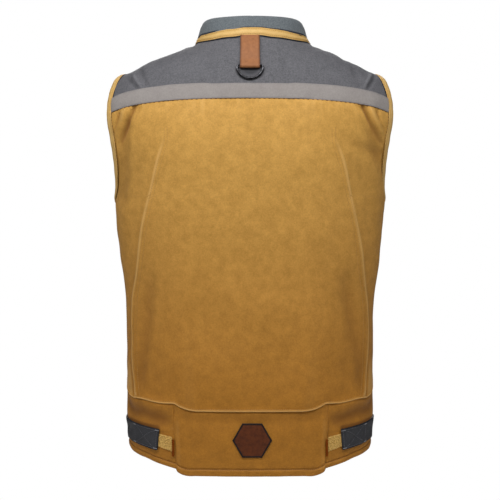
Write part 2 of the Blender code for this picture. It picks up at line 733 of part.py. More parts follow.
def build_badge():
    count = 8
    half_height = BADGE_RADIUS * math.sqrt(3) / 2

    def place(i, j):
        up = 2 * j / count - 1
        across = (2 * i / count - 1) * BADGE_RADIUS * (1 - abs(up) / 2)
        height = BADGE_HEIGHT + up * half_height
        x = BADGE_X + across
        share = math.copysign(share_at_x(torso_back, abs(x), height), x)
        return surface_frame(torso_back, share, height, 1.0)

    bent_wall("badge", place, count + 1, count + 1, LEATHER, BADGE_LOOK,
              lift=GAP + LEATHER)


def zip_sheet(x, run):
    """The middle of the front from hem to collar top; run 0 to 1 to the neck, then to 2."""
    side = math.copysign(1.0, x)
    if run <= 1:
        return front_sheet(side * share_at_x(front_sheet, abs(x), run), run)
    foot = neck_point(math.pi / 2).x
    half_width = mix(foot, COLLAR_TOP_HALF_WIDTH, run - 1)
    return collar_sheet(side * (math.pi - math.asin(abs(x) / half_width)), run - 1)


def build_zip():
    runs = [ZIP_FOOT_RUN] + steps(0.0, FRONT_LOFT, 16)[1:]
    runs += steps(FRONT_LOFT, ZIP_BELOW_NECK_RUN, 4)[1:]
    runs += steps(ZIP_ABOVE_NECK_RUN, ZIP_TOP_RUN, 4)
    for side, word in ((-1, "left"), (1, "right")):
        spots = [side * x for x in (HALF_GAP, ZIP_TAPE_HALF / 2, ZIP_TAPE_HALF)]

        def place(i, j):
            point = zip_sheet(spots[i], runs[j])
            up = zip_sheet(spots[i], runs[j] + STEP) - zip_sheet(spots[i], runs[j] - STEP)
            nudge = side * STEP
            along = (zip_sheet(spots[i] + nudge, runs[j]) - point) * side
            return point, up.cross(along).normalized()

        bent_wall("zip_tape_" + word, place, 3, len(runs), TAPE, ZIP_TAPE_LOOK,
                  lift=-COLLAR_CLOTH - ZIP_TAPE_GAP)


def axes_matrix(origin, across, outward, upward):
    """A frame whose local x, y and z are the given directions."""
    matrix = Matrix((across, outward, upward)).transposed().to_4x4()
    matrix.translation = origin
    return matrix


def curve_mesh(name, splines, depth=0.0, bevel=0.0):
    """A flat outline with a thickness, or a closed wire, as a plain welded mesh."""
    curve = bpy.data.curves.new(name, "CURVE")
    curve.dimensions = "2D" if depth else "3D"
    curve.fill_mode = "BOTH" if depth else "FULL"
    curve.extrude = depth
    curve.bevel_depth = bevel
    curve.bevel_resolution = 2
    for points in splines:
        spline = curve.splines.new("POLY")
        spline.points.add(len(points) - 1)
        for slot, point in zip(spline.points, points):
            slot.co = (*point, 1.0)
        spline.use_cyclic_u = True
    holder = bpy.data.objects.new(name + "_outline", curve)
    bpy.context.scene.collection.objects.link(holder)
    graph = bpy.context.evaluated_depsgraph_get()
    mesh = bpy.data.meshes.new_from_object(holder.evaluated_get(graph))
    bpy.data.objects.remove(holder)
    maker = bmesh.new()
    maker.from_mesh(mesh)
    bmesh.ops.remove_doubles(maker, verts=maker.verts[:], dist=1e-6)
    bmesh.ops.recalc_face_normals(maker, faces=maker.faces[:])
    if maker.calc_volume(signed=True) < 0:
        bmesh.ops.reverse_faces(maker, faces=maker.faces[:])
    maker.to_mesh(mesh)
    maker.free()
    return mesh


def yoke_line(distance):
    """The middle of the yoke: the point this far below the neck seam, and its normal."""
    low, high = YOKE_LOFT, 1.0
    top = yoke_sheet(0.0, 1.0)
    for _ in range(30):
        middle = (low + high) / 2
        if (top - yoke_sheet(0.0, middle)).length > distance:
            low = middle
        else:
            high = middle
    return surface_frame(yoke_sheet, 0.0, low, 1.0)


def eye_frame():
    """The ring's bar: its centre, and the ways out of and up along the yoke there."""
    point, normal = yoke_line(LOOP_EYE_DOWN)
    eye_radius = RING_WIRE + RING_CLEARANCE + LEATHER
    upward = normal.cross(Vector((1, 0, 0))).normalized()
    return point + normal * (GAP + eye_radius), normal, upward, eye_radius


def build_hang_loop():
    centre, normal, upward, eye_radius = eye_frame()
    slab = 2 * LEATHER + LOOP_FOLD_GAP
    near = []
    far = []
    for distance in steps(LOOP_START, LOOP_EYE_DOWN - LOOP_EYE_TAPER, 8):
        point, out = yoke_line(distance)
        near.append(point + out * GAP)
        far.append(point + out * (GAP + slab))
    eye = []
    for angle in steps(EYE_TOP_ANGLE, -math.pi / 2, 9):
        eye.append(centre + (normal * math.sin(angle) - upward * math.cos(angle)) * eye_radius)
    outline = near[::-1] + far + eye
    hole = []
    for index in range(14):
        angle = 2 * math.pi * index / 14
        hole.append(centre + (normal * math.sin(angle) - upward * math.cos(angle))
                    * (RING_WIRE + RING_CLEARANCE))
    flat = [[(point.y, point.z, 0.0) for point in line] for line in (outline, hole)]
    mesh = curve_mesh("hang_loop", flat, depth=LOOP_HALF_WIDTH)
    turn = Matrix(((0, 0, 1, 0), (1, 0, 0, 0), (0, 1, 0, 0), (0, 0, 0, 1)))
    mesh.transform(turn)
    finish("hang_loop", mesh, *LOOP_LOOK)


def ring_tilt():
    """The way that the ring hangs: down along the yoke, its foot just clear of it."""
    centre = eye_frame()[0]
    foot, out = yoke_line(LOOP_EYE_DOWN + RING_DEPTH)
    rest = foot + out * (RING_REST + RING_WIRE)
    return centre, (rest - centre).normalized()


def build_ring():
    centre, down = ring_tilt()
    across = Vector((1, 0, 0))
    points = []
    for angle in steps(math.radians(90), 0.0, 3):
        points.append((RING_HALF_WIDTH - RING_CORNER + RING_CORNER * math.cos(angle),
                       RING_CORNER * (1 - math.sin(angle))))
    for angle in steps(0.0, math.pi, 16)[1:-1]:
        points.append((RING_HALF_WIDTH * math.cos(angle),
                       RING_CORNER + (RING_DEPTH - RING_CORNER) * math.sin(angle)))
    points += [(-x, y) for x, y in points[3::-1]]
    route = [tuple(across * x + down * y) for x, y in points]
    mesh = curve_mesh("d_ring", [route], bevel=RING_WIRE)
    ring = finish("d_ring", mesh, *METAL_LOOK)
    ring.location = centre
    return ring


def slider_frame():
    """The slider's place on the collar's front: its point, and its ways out and up."""
    point = collar_sheet(math.pi, SLIDER_PLACE)
    upward = (collar_sheet(math.pi, 1.0) - collar_sheet(math.pi, 0.0)).normalized()
    outward = Vector((1, 0, 0)).cross(upward).normalized() * -1
    return point, outward, upward


def bridge_centre():
    return SLIDER_SIZE.y - SLIDER_SINK + GAP + PULL_BAR


def build_slider():
    point, outward, upward = slider_frame()
    bpy.ops.mesh.primitive_cube_add(size=1)
    body = bpy.context.object
    body.name = "slider_block"
    body.data.transform(Matrix.Diagonal((*SLIDER_SIZE, 1.0)))
    body.data.transform(Matrix.Translation((0, SLIDER_SIZE.y / 2 - SLIDER_SINK, 0)))
    rounding = body.modifiers.new("rounding", "BEVEL")
    rounding.width = SLIDER_ROUNDING
    rounding.segments = 2
    base = SLIDER_SIZE.y - SLIDER_SINK - BRIDGE_SINK
    centre = bridge_centre()
    outline = [(base, BRIDGE_OUTER)]
    outline += [(centre + BRIDGE_OUTER * math.sin(angle), BRIDGE_OUTER * math.cos(angle))
                for angle in steps(0, math.pi, 10)]
    outline += [(base, -BRIDGE_OUTER), (base, -BRIDGE_INNER)]
    outline += [(centre + BRIDGE_INNER * math.sin(angle), -BRIDGE_INNER * math.cos(angle))
                for angle in steps(0, math.pi, 8)]
    outline += [(base, BRIDGE_INNER)]
    mesh = curve_mesh("bridge", [[(y, z, 0.0) for y, z in outline]], depth=BRIDGE_HALF_WIDTH)
    mesh.transform(Matrix(((0, 0, 1, 0), (1, 0, 0, 0), (0, 1, 0, 0), (0, 0, 0, 1))))
    bridge = bpy.data.objects.new("bridge_cutter", mesh)
    bpy.context.scene.collection.objects.link(bridge)
    join = body.modifiers.new("bridge", "BOOLEAN")
    join.operation = "UNION"
    join.object = bridge
    graph = bpy.context.evaluated_depsgraph_get()
    joined = bpy.data.meshes.new_from_object(body.evaluated_get(graph))
    bpy.data.objects.remove(body)
    bpy.data.objects.remove(bridge)
    slider = finish("zip_slider", joined, *METAL_LOOK)
    slider.matrix_world = axes_matrix(point, Vector((1, 0, 0)), outward, upward)


def rounded_slot(half_width, top, bottom, radius):
    """A rectangle with round corners, as points; top and bottom are along z."""
    corners = ((half_width - radius, top - radius, 0), (-half_width + radius, top - radius, 90),
               (-half_width + radius, bottom + radius, 180), (half_width - radius, bottom + radius, 270))
    points = []
    for x, z, start in corners:
        for angle in steps(math.radians(start), math.radians(start + 90), 3):
            points.append((x + radius * math.cos(angle), z + radius * math.sin(angle), 0.0))
    return points


def build_pull():
    point, outward, upward = slider_frame()
    outline = rounded_slot(PULL_HALF_WIDTH, PULL_BAR, PULL_BAR - PULL_LENGTH, PULL_ROUNDING)
    eye = rounded_slot(PULL_EYE_HALF, -PULL_BAR, -PULL_BAR - PULL_EYE_DEPTH, PULL_EYE_ROUNDING)
    mesh = curve_mesh("zip_pull", [outline, eye], depth=PULL_BAR)
    mesh.transform(Matrix.Rotation(math.radians(90), 4, "X"))
    pull = finish("zip_pull", mesh, *METAL_LOOK)
    pull.matrix_world = axes_matrix(point + outward * bridge_centre(), Vector((1, 0, 0)), outward, upward)


def main():
    for thing in list(bpy.data.objects):
        bpy.data.objects.remove(thing)
    collection = bpy.data.collections.new("field_vest")
    bpy.context.scene.collection.children.link(collection)
    build_back()
    build_yoke()
    build_hem()
    build_fronts()
    build_collar()
    build_bindings()
    build_tabs()
    build_badge()
    build_zip()
    build_hang_loop()
    build_ring()
    build_slider()
    build_pull()


main()
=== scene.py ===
"""Field vest: the finished cloth, trim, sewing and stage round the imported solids.

Metres, +Z up. The back faces -Y, the front faces +Y. Every sheet of cloth is a function of
a share across the panel and a place along it, the same one that its solid is made from.
"""

import math
from collections import namedtuple

import bmesh
import bpy
import numpy as np
from bpy.props import FloatProperty, FloatVectorProperty, IntProperty, PointerProperty
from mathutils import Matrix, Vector


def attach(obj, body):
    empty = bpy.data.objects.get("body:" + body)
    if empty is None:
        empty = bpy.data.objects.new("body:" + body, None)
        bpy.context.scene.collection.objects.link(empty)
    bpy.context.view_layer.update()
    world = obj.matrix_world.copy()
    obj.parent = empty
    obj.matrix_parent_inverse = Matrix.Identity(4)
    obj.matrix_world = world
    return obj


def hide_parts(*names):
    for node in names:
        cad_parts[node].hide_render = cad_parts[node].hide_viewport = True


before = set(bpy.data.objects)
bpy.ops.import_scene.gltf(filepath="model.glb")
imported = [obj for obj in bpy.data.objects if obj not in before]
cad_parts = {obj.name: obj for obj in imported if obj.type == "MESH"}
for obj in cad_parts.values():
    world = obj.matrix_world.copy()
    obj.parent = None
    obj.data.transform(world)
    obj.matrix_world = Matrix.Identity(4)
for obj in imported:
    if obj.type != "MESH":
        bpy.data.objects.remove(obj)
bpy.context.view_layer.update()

bl_info = {
    "name": "Field vest",
    "version": (1, 0, 0),
    "blender": (4, 5, 0),
    "location": "3D View > Sidebar > Field vest",
    "description": "Dresses the packed field vest in cloth, leather, sewing and metal",
    "category": "Object",
}

# Walls and gaps, as in the solids
CANVAS = 0.0018
COLLAR_CLOTH = 0.0024
TAPE = 0.0010
WEBBING = 0.0018
LEATHER = 0.0018
GAP = 0.0003
HALF_GAP = GAP / 2
# About how far it is from a panel's middle to its side, and the half gap as a share of that
HALF_PANEL = 0.28
SEAM_TRIM = HALF_GAP / HALF_PANEL
# The step that slopes are measured over, and how many rows a closely read column has
STEP = 1e-4
DENSE = 4000
# Which way each side lies along x, and its word in the names of pieces
SIDES = ((-1, "left"), (1, "right"))

# Half sections of the body, as in the solids: the side edge's x and y, the middle's y and
# how square the bend between them is. Below the arms both halves meet at the side.
UNDERARM = -0.2594
Section = namedtuple("Section", "height edge_x edge_y middle_y square")
Girth = namedtuple("Girth", "height edge_x back_y front_y square")
GIRTHS = (
    Girth(-0.7100, 0.1950, -0.1155, 0.1100, 2.30),
    Girth(-0.6600, 0.1985, -0.1195, 0.1130, 2.30),
    Girth(-0.6200, 0.2030, -0.1220, 0.1150, 2.30),
    Girth(-0.5700, 0.2027, -0.1240, 0.1155, 2.32),
    Girth(-0.5100, 0.2025, -0.1235, 0.1150, 2.34),
    Girth(-0.4600, 0.2033, -0.1220, 0.1145, 2.34),
    Girth(-0.4080, 0.2067, -0.1225, 0.1160, 2.34),
    Girth(-0.3550, 0.2141, -0.1250, 0.1195, 2.36),
    Girth(-0.3020, 0.2199, -0.1290, 0.1240, 2.38),
    Girth(UNDERARM, 0.2220, -0.1320, 0.1270, 2.40),
)
BACK_SECTIONS = tuple(Section(row.height, row.edge_x, 0.0, row.back_y, row.square)
                      for row in GIRTHS) + (
    Section(-0.2540, 0.2213, -0.0180, -0.1323, 2.40),
    Section(-0.2367, 0.2187, -0.0360, -0.1333, 2.40),
    Section(-0.2113, 0.2190, -0.0500, -0.1345, 2.42),
    Section(-0.1860, 0.2215, -0.0590, -0.1350, 2.44),
    Section(-0.1615, 0.2248, -0.0640, -0.1345, 2.46),
    Section(-0.1300, 0.2298, -0.0650, -0.1322, 2.46),
    Section(-0.1080, 0.2300, -0.0600, -0.1290, 2.44),
    Section(-0.0858, 0.2265, -0.0470, -0.1240, 2.42),
    Section(-0.0700, 0.2215, -0.0300, -0.1195, 2.40),
)
FRONT_SECTIONS = tuple(Section(row.height, row.edge_x, 0.0, row.front_y, row.square)
                       for row in GIRTHS) + (
    Section(-0.2540, 0.2212, 0.0160, 0.1273, 2.40),
    Section(-0.2367, 0.2180, 0.0320, 0.1280, 2.40),
    Section(-0.2113, 0.2135, 0.0450, 0.1275, 2.40),
    Section(-0.1860, 0.2095, 0.0530, 0.1260, 2.40),
    Section(-0.1615, 0.2068, 0.0575, 0.1230, 2.40),
    Section(-0.1300, 0.2052, 0.0580, 0.1165, 2.40),
    Section(-0.0957, 0.2065, 0.0480, 0.1050, 2.40),
    Section(-0.0700, 0.2095, 0.0280, 0.0940, 2.40),
)

# Neck and shoulders
NECK_HALF_WIDTH = 0.0930
NECK_BACK = 0.0860
NECK_FRONT = 0.0880
NECK_BACK_HEIGHT = 0.0030
NECK_FRONT_DROP = 0.0660
NECK_DROP_POWER = 3.5
SHOULDER_ANGLE = math.radians(86)
NECK_SHARE = 0.5
SHOULDER_TIP = np.array((0.2130, -0.0020, -0.0560))
YOKE_LOFT = 0.30
YOKE_NECK_PITCH = math.radians(50)
YOKE_SHOULDER_PITCH = math.radians(1)
FRONT_NECK_PITCH = math.radians(68)
PITCH_BLEND = (0.12, 0.62)
SHOULDER_LEAN = 0.35

# Seams across the back
BAND_LOW = -0.1010
BAND_LOW_FALL = 0.0223
BAND_LOW_POWER = 2.6
BAND_TOP = -0.0757
BAND_TOP_FALL = 0.0234
BAND_TOP_POWER = 2.4
YOKE_SEAM_ABOVE_BAND_EDGE = 0.0030

# Fronts and zip
FRONT_HEM = -0.6600
FRONT_LOFT = 0.80
FRONT_LOFT_MIDDLE = -0.1180
FRONT_LOFT_EDGE = -0.0957
ZIP_SLOT_HALF = 0.0045
ZIP_TAPE_HALF = 0.0170
ZIP_TAPE_GAP = 0.0006
ZIP_TOP_RUN = 1.97

# Pouch seam, hem, tail, tabs and patches
SEAM_MIDDLE = -0.5980
SEAM_STEP_SHARE = 0.250
SEAM_STEP_POWER = 2.2
SEAM_SIDE_STEP = 0.0116
SEAM_FLANK_STEP = 0.0060
SEAM_FLANK_BLEND = (0.45, 0.65)
SEAM_SIDE_RISE = 0.0296
SEAM_RISE_FROM = 0.70
SEAM_RISE_POWER = 1.5
TAIL_SHARE = 0.386
TAIL_CORNER_SHARE = 0.290
TAIL_DROP = 0.0100
HEM_SIDE = -0.6600
HEM_FALL = 0.0326
HEM_FALL_POWER = 1.3
TAB_END_SHARE = 0.478
TAB_END_SLANT = 0.026
TAB_FAR_SHARE = 1.30
TAB_HEIGHT = -0.6300
TAB_FALL = 0.0144
TAB_FALL_POWER = 1.3
TAB_WIDTH = 0.0320
PATCH_TOP = (-0.6413, -0.6366)
PATCH_BOTTOM = (-0.6644, -0.6558)
PATCH_CLOTH = 0.0014
BADGE_RADIUS = 0.0308
BADGE_X = 0.0036
BADGE_HEIGHT = -0.6450

# Collar, neck tape and binding
COLLAR_TOP_HALF_WIDTH = 0.0853
COLLAR_TOP_DEPTH = 0.0750
COLLAR_TOP_HEIGHT = 0.0365
COLLAR_FRONT_DROP = 0.0650
COLLAR_DROP_POWER = 2.5
NECK_TAPE_SHARE = 0.38
BINDING_WIDTH = 0.0075
BINDING_GAP = 0.0008
BINDING_INNER_GAP = 0.0016

# Hang loop and ring
LOOP_HALF_WIDTH = 0.0155
LOOP_START = 0.0025
LOOP_EYE_DOWN = 0.0580
LOOP_EYE_TAPER = 0.0080
LOOP_FOLD_GAP = 0.0004
RING_WIRE = 0.0016
RING_CLEARANCE = 0.00035
RING_REST = 0.0007
RING_HALF_WIDTH = 0.0207
RING_DEPTH = 0.0222
RING_CORNER = 0.0030


def spread(one, other):
    """Two values as float arrays of one shape."""
    return np.broadcast_arrays(np.asarray(one, float), np.asarray(other, float))


def side_of(place):
    """-1 on the left and 1 on the right."""
    return np.where(place < 0, -1.0, 1.0)


def mix(start, end, share):
    return start + (end - start) * share


def ease(low, high, value):
    """0 at low and 1 at high, whichever is larger: smooth between them and level beyond."""
    share = np.clip((value - low) / (high - low), 0.0, 1.0)
    return share * share * (3 - 2 * share)


def hump(distance, breadth):
    """1 on a line and fading to 0 at about twice its breadth."""
    return np.exp(-(distance / breadth) ** 2)


def unit(vectors):
    return vectors / np.maximum(np.linalg.norm(vectors, axis=-1, keepdims=True), 1e-12)


def dot(one, other):
    return np.sum(one * other, axis=-1, keepdims=True)


def hermite(start, start_slope, end, end_slope, share):
    square = share * share
    cube = square * share
    return (start * (2 * cube - 3 * square + 1) + start_slope * (cube - 2 * square + share)
            + end * (3 * square - 2 * cube) + end_slope * (cube - square))


def smooth_column(places, values):
    """A short column read closely, with no overshoot between its rows."""
    places = np.array(places, float)
    values = np.array(values, float)
    spans = np.diff(places)
    grades = np.diff(values) / spans
    product = grades[:-1] * grades[1:]
    total = np.where(product > 0, grades[:-1] + grades[1:], 1.0)
    inner = np.where(product > 0, 2 * product / total, 0.0)
    slopes = np.concatenate((grades[:1], inner, grades[-1:]))
    dense = np.linspace(places[0], places[-1], DENSE)
    row = np.clip(np.searchsorted(places, dense, side="right") - 1, 0, len(spans) - 1)
    share = (dense - places[row]) / spans[row]
    return dense, hermite(values[row], slopes[row] * spans[row], values[row + 1],
                          slopes[row + 1] * spans[row], share)


def table_columns(table):
    heights = [row.height for row in table]
    return {name: smooth_column(heights, [getattr(row, name) for row in table])
            for name in Section._fields[1:]}


BACK_COLUMNS = table_columns(BACK_SECTIONS)
FRONT_COLUMNS = table_columns(FRONT_SECTIONS)


def section_sizes(columns, height):
    """Half width, depth, squareness and how far the edge stands from the side seam."""
    edge_x, edge_y, middle_y, square = (np.interp(height, *columns[name])
                                        for name in Section._fields[1:])
    edge_depth = np.abs(edge_y / middle_y)
    reach = (1 - edge_depth ** square) ** (1 / square)
    return edge_x / reach, middle_y, square, np.arctan2(reach, edge_depth)


def section(columns, share, height):
    share, height = spread(share, height)
    half_width, depth, square, full_turn = section_sizes(columns, height)
    turn = full_turn * share
    across = np.sin(turn)
    forward = np.cos(turn)
    radius = (np.abs(across) ** square + np.abs(forward) ** square) ** (-1 / square)
    return np.stack((half_width * radius * across, depth * radius * forward, height), axis=-1)


def torso_back(share, height):
    return section(BACK_COLUMNS, share, height)


def torso_front(share, height):
    return section(FRONT_COLUMNS, share, height)


def back_at(x, height):
    """The point of the back at an x and a height."""
    half_width, depth, square, _ = section_sizes(BACK_COLUMNS, height)
    y = depth * np.maximum(1 - np.abs(x / half_width) ** square, 0.0) ** (1 / square)
    return np.stack(np.broadcast_arrays(x, y, height), axis=-1)


def back_with_normal(x, height):
    """The point of the back at an x and a height, and its outward way."""
    base = back_at(x, height)
    return base, unit(np.cross(back_at(x + STEP, height) - base, back_at(x, height + STEP) - base))


def neck_point(angle):
    """The neck seam at an angle from the middle of the back."""
    depth = np.where(np.abs(angle) < math.pi / 2, NECK_BACK, NECK_FRONT)
    turn = (1 - np.cos(angle)) / 2
    height = NECK_BACK_HEIGHT - NECK_FRONT_DROP * turn ** NECK_DROP_POWER
    return np.stack((NECK_HALF_WIDTH * np.sin(angle), -depth * np.cos(angle), height), axis=-1)


def top_edge(share, front):
    """The seam round the neck and on along the shoulder."""
    side = side_of(share)
    share = np.abs(share)
    start = math.pi if front else 0.0
    neck = neck_point(mix(start, SHOULDER_ANGLE, np.minimum(share / NECK_SHARE, 1.0)))
    along = np.clip((share - NECK_SHARE) / (1 - NECK_SHARE), 0.0, None)[..., None]
    point = neck + (SHOULDER_TIP - neck_point(SHOULDER_ANGLE)) * along
    point[..., 0] *= side
    return point


def top_slope(share, front):
    """The way in which a panel runs up into that seam."""
    side = side_of(share)
    share = np.abs(share)
    pitch = mix(FRONT_NECK_PITCH if front else YOKE_NECK_PITCH, YOKE_SHOULDER_PITCH,
                ease(*PITCH_BLEND, share))
    lean = SHOULDER_LEAN * ease(NECK_SHARE, 1.0, share)
    turn = -1.0 if front else 1.0
    return unit(np.stack((-side * lean * np.cos(pitch) * turn, np.cos(pitch) * turn,
                          np.sin(pitch)), axis=-1))


def loft_to_top(sheet, share, start_height, front, rise):
    """The cloth from a height of the body's sheet up to the neck and shoulder seam."""
    start = sheet(share, start_height)
    climb = unit(start - sheet(share, start_height - STEP))
    end = top_edge(share, front)
    reach = np.linalg.norm(end - start, axis=-1, keepdims=True)
    return hermite(start, climb * reach, end, top_slope(share, front) * reach, rise[..., None])


def band_low(share):
    return BAND_LOW - BAND_LOW_FALL * np.abs(share) ** BAND_LOW_POWER


def band_top(share):
    return BAND_TOP - BAND_TOP_FALL * np.abs(share) ** BAND_TOP_POWER


def yoke_seam(share):
    return band_low(share) + YOKE_SEAM_ABOVE_BAND_EDGE


def pouch_seam(share):
    share = np.abs(share)
    step = (share - SEAM_STEP_SHARE) / (TAIL_SHARE - SEAM_STEP_SHARE)
    height = SEAM_MIDDLE + SEAM_SIDE_STEP * np.clip(step, 0.0, 1.0) ** SEAM_STEP_POWER
    height = height + SEAM_FLANK_STEP * ease(*SEAM_FLANK_BLEND, share)
    beyond = np.maximum(share - SEAM_RISE_FROM, 0.0) / (1 - SEAM_RISE_FROM)
    return height + SEAM_SIDE_RISE * beyond ** SEAM_RISE_POWER


def hem_edge(share):
    share = np.abs(share)
    inward = (1 - np.maximum(share, TAIL_SHARE)) / (1 - TAIL_SHARE)
    height = HEM_SIDE - HEM_FALL * inward ** HEM_FALL_POWER
    corner = np.clip((share - TAIL_CORNER_SHARE) / (TAIL_SHARE - TAIL_CORNER_SHARE), 0.0, 1.0)
    return height - TAIL_DROP * np.sqrt(1 - corner ** 2)


def front_loft_start(share):
    return mix(FRONT_LOFT_MIDDLE, FRONT_LOFT_EDGE, share * share)


def lofted(torso, share, rise, low, high, loft, front):
    """A panel that follows the body between two heights, given as functions of the share,
    and from there on runs to the neck and the shoulder."""
    share, rise = spread(share, rise)
    start = high(share)
    body = torso(share, mix(low(share), start, rise / loft))
    top = loft_to_top(torso, share, start, front, np.maximum(rise - loft, 0.0) / (1 - loft))
    return np.where((rise <= loft)[..., None], body, top)


def yoke_sheet(share, rise):
    return lofted(torso_back, share, rise, yoke_seam, band_top, YOKE_LOFT, False)


def front_sheet(share, rise):
    return lofted(torso_front, share, rise, lambda share: FRONT_HEM, front_loft_start,
                  FRONT_LOFT, True)


def front_rise(height):
    return FRONT_LOFT * (height - FRONT_HEM) / (FRONT_LOFT_EDGE - FRONT_HEM)


# The search for a share: the largest it may be, and how often the range is halved
LARGEST_SHARE = 0.3
HALVINGS = 30


def share_at_x(sheet, x, row):
    """The share at which a row of a sheet passes x."""
    low = np.zeros(np.broadcast(x, row).shape)
    high = low + LARGEST_SHARE
    for _ in range(HALVINGS):
        middle = (low + high) / 2
        under = sheet(middle, row)[..., 0] < x
        low = np.where(under, middle, low)
        high = np.where(under, high, middle)
    return (low + high) / 2


def side_ring(turn, height):
    """Round the side: 0 is the middle of the back, 1 the side seam and 2 the zip."""
    front = torso_front(np.sign(turn) * (2 - np.abs(turn)), height)
    return np.where((np.abs(turn) <= 1)[..., None], torso_back(turn, height), front)


def collar_sheet(angle, rise):
    angle, rise = spread(angle, rise)
    turn = (1 - np.cos(angle)) / 2
    top = np.stack((COLLAR_TOP_HALF_WIDTH * np.sin(angle), -COLLAR_TOP_DEPTH * np.cos(angle),
                    COLLAR_TOP_HEIGHT - COLLAR_FRONT_DROP * turn ** COLLAR_DROP_POWER), axis=-1)
    return mix(neck_point(angle), top, rise[..., None])


def zip_sheet(x, run):
    """The middle of the front: run 0 to 1 from hem to neck, and to 2 at the collar's top."""
    x, run = spread(x, run)
    side = side_of(x)
    low_run = np.minimum(run, 1.0)
    body = front_sheet(side * share_at_x(front_sheet, np.abs(x), low_run), low_run)
    high_run = np.maximum(run - 1, 0.0)
    half_width = mix(NECK_HALF_WIDTH, COLLAR_TOP_HALF_WIDTH, high_run)
    collar = collar_sheet(side * (math.pi - np.arcsin(np.abs(x) / half_width)), high_run)
    return np.where((run <= 1)[..., None], body, collar)


# How cloth is pushed out of its plain sheet

BODY_MIDDLE = np.array((0.0, 0.0, -0.35))


def closer(count, share=0.6):
    """Shares from 0 to 1 that lie closer together at both ends."""
    even = np.linspace(0, 1, count)
    return even - share / (2 * math.pi) * np.sin(2 * math.pi * even)


def closer_sides(count, share=0.45):
    """Shares from -1 to 1 that lie closer together towards both sides."""
    even = np.linspace(-1, 1, count)
    return even + share / math.pi * np.sin(math.pi * even)


def uneven(one, other, size, seed, waves=7):
    """A soft random height of about -1 to 1, whose swells are about as long as size."""
    random = np.random.default_rng(seed)
    angles = random.uniform(0, math.pi, waves)
    lengths = size * random.uniform(0.7, 1.8, waves)
    phases = random.uniform(0, 2 * math.pi, waves)
    total = np.zeros(np.broadcast(one, other).shape)
    for angle, length, phase in zip(angles, lengths, phases):
        run = one * math.cos(angle) + other * math.sin(angle)
        total += np.sin(2 * math.pi * run / length + phase)
    return total / math.sqrt(waves)


def arc_runs(points):
    """Distances along the cloth from its middle column, and up it from its lowest row."""
    across = np.linalg.norm(np.diff(points, axis=1), axis=-1)
    upward = np.linalg.norm(np.diff(points, axis=0), axis=-1)
    rows, columns = points.shape[:2]
    u = np.concatenate((np.zeros((rows, 1)), np.cumsum(across, axis=1)), axis=1)
    v = np.concatenate((np.zeros((1, columns)), np.cumsum(upward, axis=0)), axis=0)
    return u - u[:, columns // 2][:, None], v


def grid_normals(points):
    """Unit normals that point away from the middle of the body."""
    normals = unit(np.cross(np.gradient(points, axis=1), np.gradient(points, axis=0)))
    out = (points - BODY_MIDDLE) * (1.0, 1.0, 0.15)
    return normals * (1.0 if np.sum(normals * out) > 0 else -1.0)


def raised_by(points, ways, distance):
    return points + ways * np.asarray(distance)[..., None]


def raised(points, relief):
    return raised_by(points, grid_normals(points), relief)


def below_top(v):
    return v.max(axis=0, keepdims=True) - v


def within_sides(u):
    return np.abs(u).max(axis=1, keepdims=True) - np.abs(u)


# Soft creases by their ends in x and z, as seen square on: lifts are heights above the cloth
Fold = namedtuple("Fold", "start end breadth lift_start lift_end")
CREASE_SHADE = 170.0
CREASE_SHADE_BREADTH = 0.0036


def creases(folds, x, z):
    """The height of creases, and their painted shade and highlight: a narrow one shows more."""
    relief = np.zeros_like(x)
    shade = np.zeros_like(x)
    for fold in folds:
        start = np.array(fold.start)
        way = np.array(fold.end) - start
        length = math.hypot(*way)
        way = way / length
        along = (x - start[0]) * way[0] + (z - start[1]) * way[1]
        beside = (x - start[0]) * way[1] - (z - start[1]) * way[0]
        beyond = np.maximum(np.maximum(-along, along - length), 0.0)
        lift = mix(fold.lift_start, fold.lift_end, np.clip(along / length, 0, 1))
        lift = lift * hump(beside, fold.breadth) * hump(beyond, fold.breadth * 2)
        relief += lift
        shade += lift * CREASE_SHADE * (CREASE_SHADE_BREADTH / fold.breadth) ** 0.6
    return relief, shade


def mirrored(*folds):
    return folds + tuple(fold._replace(start=(-fold.start[0], fold.start[1]),
                                       end=(-fold.end[0], fold.end[1])) for fold in folds)


# The neck leans to the right of the hem, its seam sags beside the nape, and the shoulder
# seams dip where they carry no weight
NECK_LEAN = 0.0040
NECK_PULL_LEFT = 0.0024
NECK_PULL_RIGHT = 0.0030
NECK_SAG = 0.0020
NAPE_SAG = 0.0030
Dip = namedtuple("Dip", "x breadth depth")
SHOULDER_DIPS = (Dip(-0.193, 0.012, 0.0020), Dip(-0.118, 0.012, 0.0008),
                 Dip(0.112, 0.012, 0.0034), Dip(0.150, 0.010, 0.0022),
                 Dip(0.193, 0.012, 0.0020))


def as_worn(points):
    """Moves the neck and the shoulders to where the worn cloth hangs."""
    x, y, z = points[..., 0], points[..., 1], points[..., 2]
    side = np.abs(x)
    high = ease(-0.055, -0.005, z) * ease(0.070, 0.010, y)
    # The neck's foot spreads to both sides
    pull = np.where(x < 0, -NECK_PULL_LEFT * ease(0.003, -0.009, z),
                    NECK_PULL_RIGHT * ease(0.012, -0.006, z))
    lean = (NECK_LEAN + pull * ease(0.040, 0.085, side) * ease(0.130, 0.105, side)) * high
    sag = NECK_SAG * ease(0.012, 0.032, side) * ease(0.110, 0.095, side)
    sag = (sag + NAPE_SAG * hump(side - 0.073, 0.022)) * ease(0.036, 0.012, z) * high
    ridge = ease(0.075, 0.020, np.abs(y)) * ease(-0.085, -0.050, z)
    for dip in SHOULDER_DIPS:
        sag = sag + dip.depth * hump(x - dip.x, dip.breadth) * ridge
    return points + np.stack((lean, lean * 0, -sag), axis=-1)


# Meshes

def linked(name, data):
    """A new object in the scene."""
    thing = bpy.data.objects.new(name, data)
    bpy.context.scene.collection.objects.link(thing)
    return thing


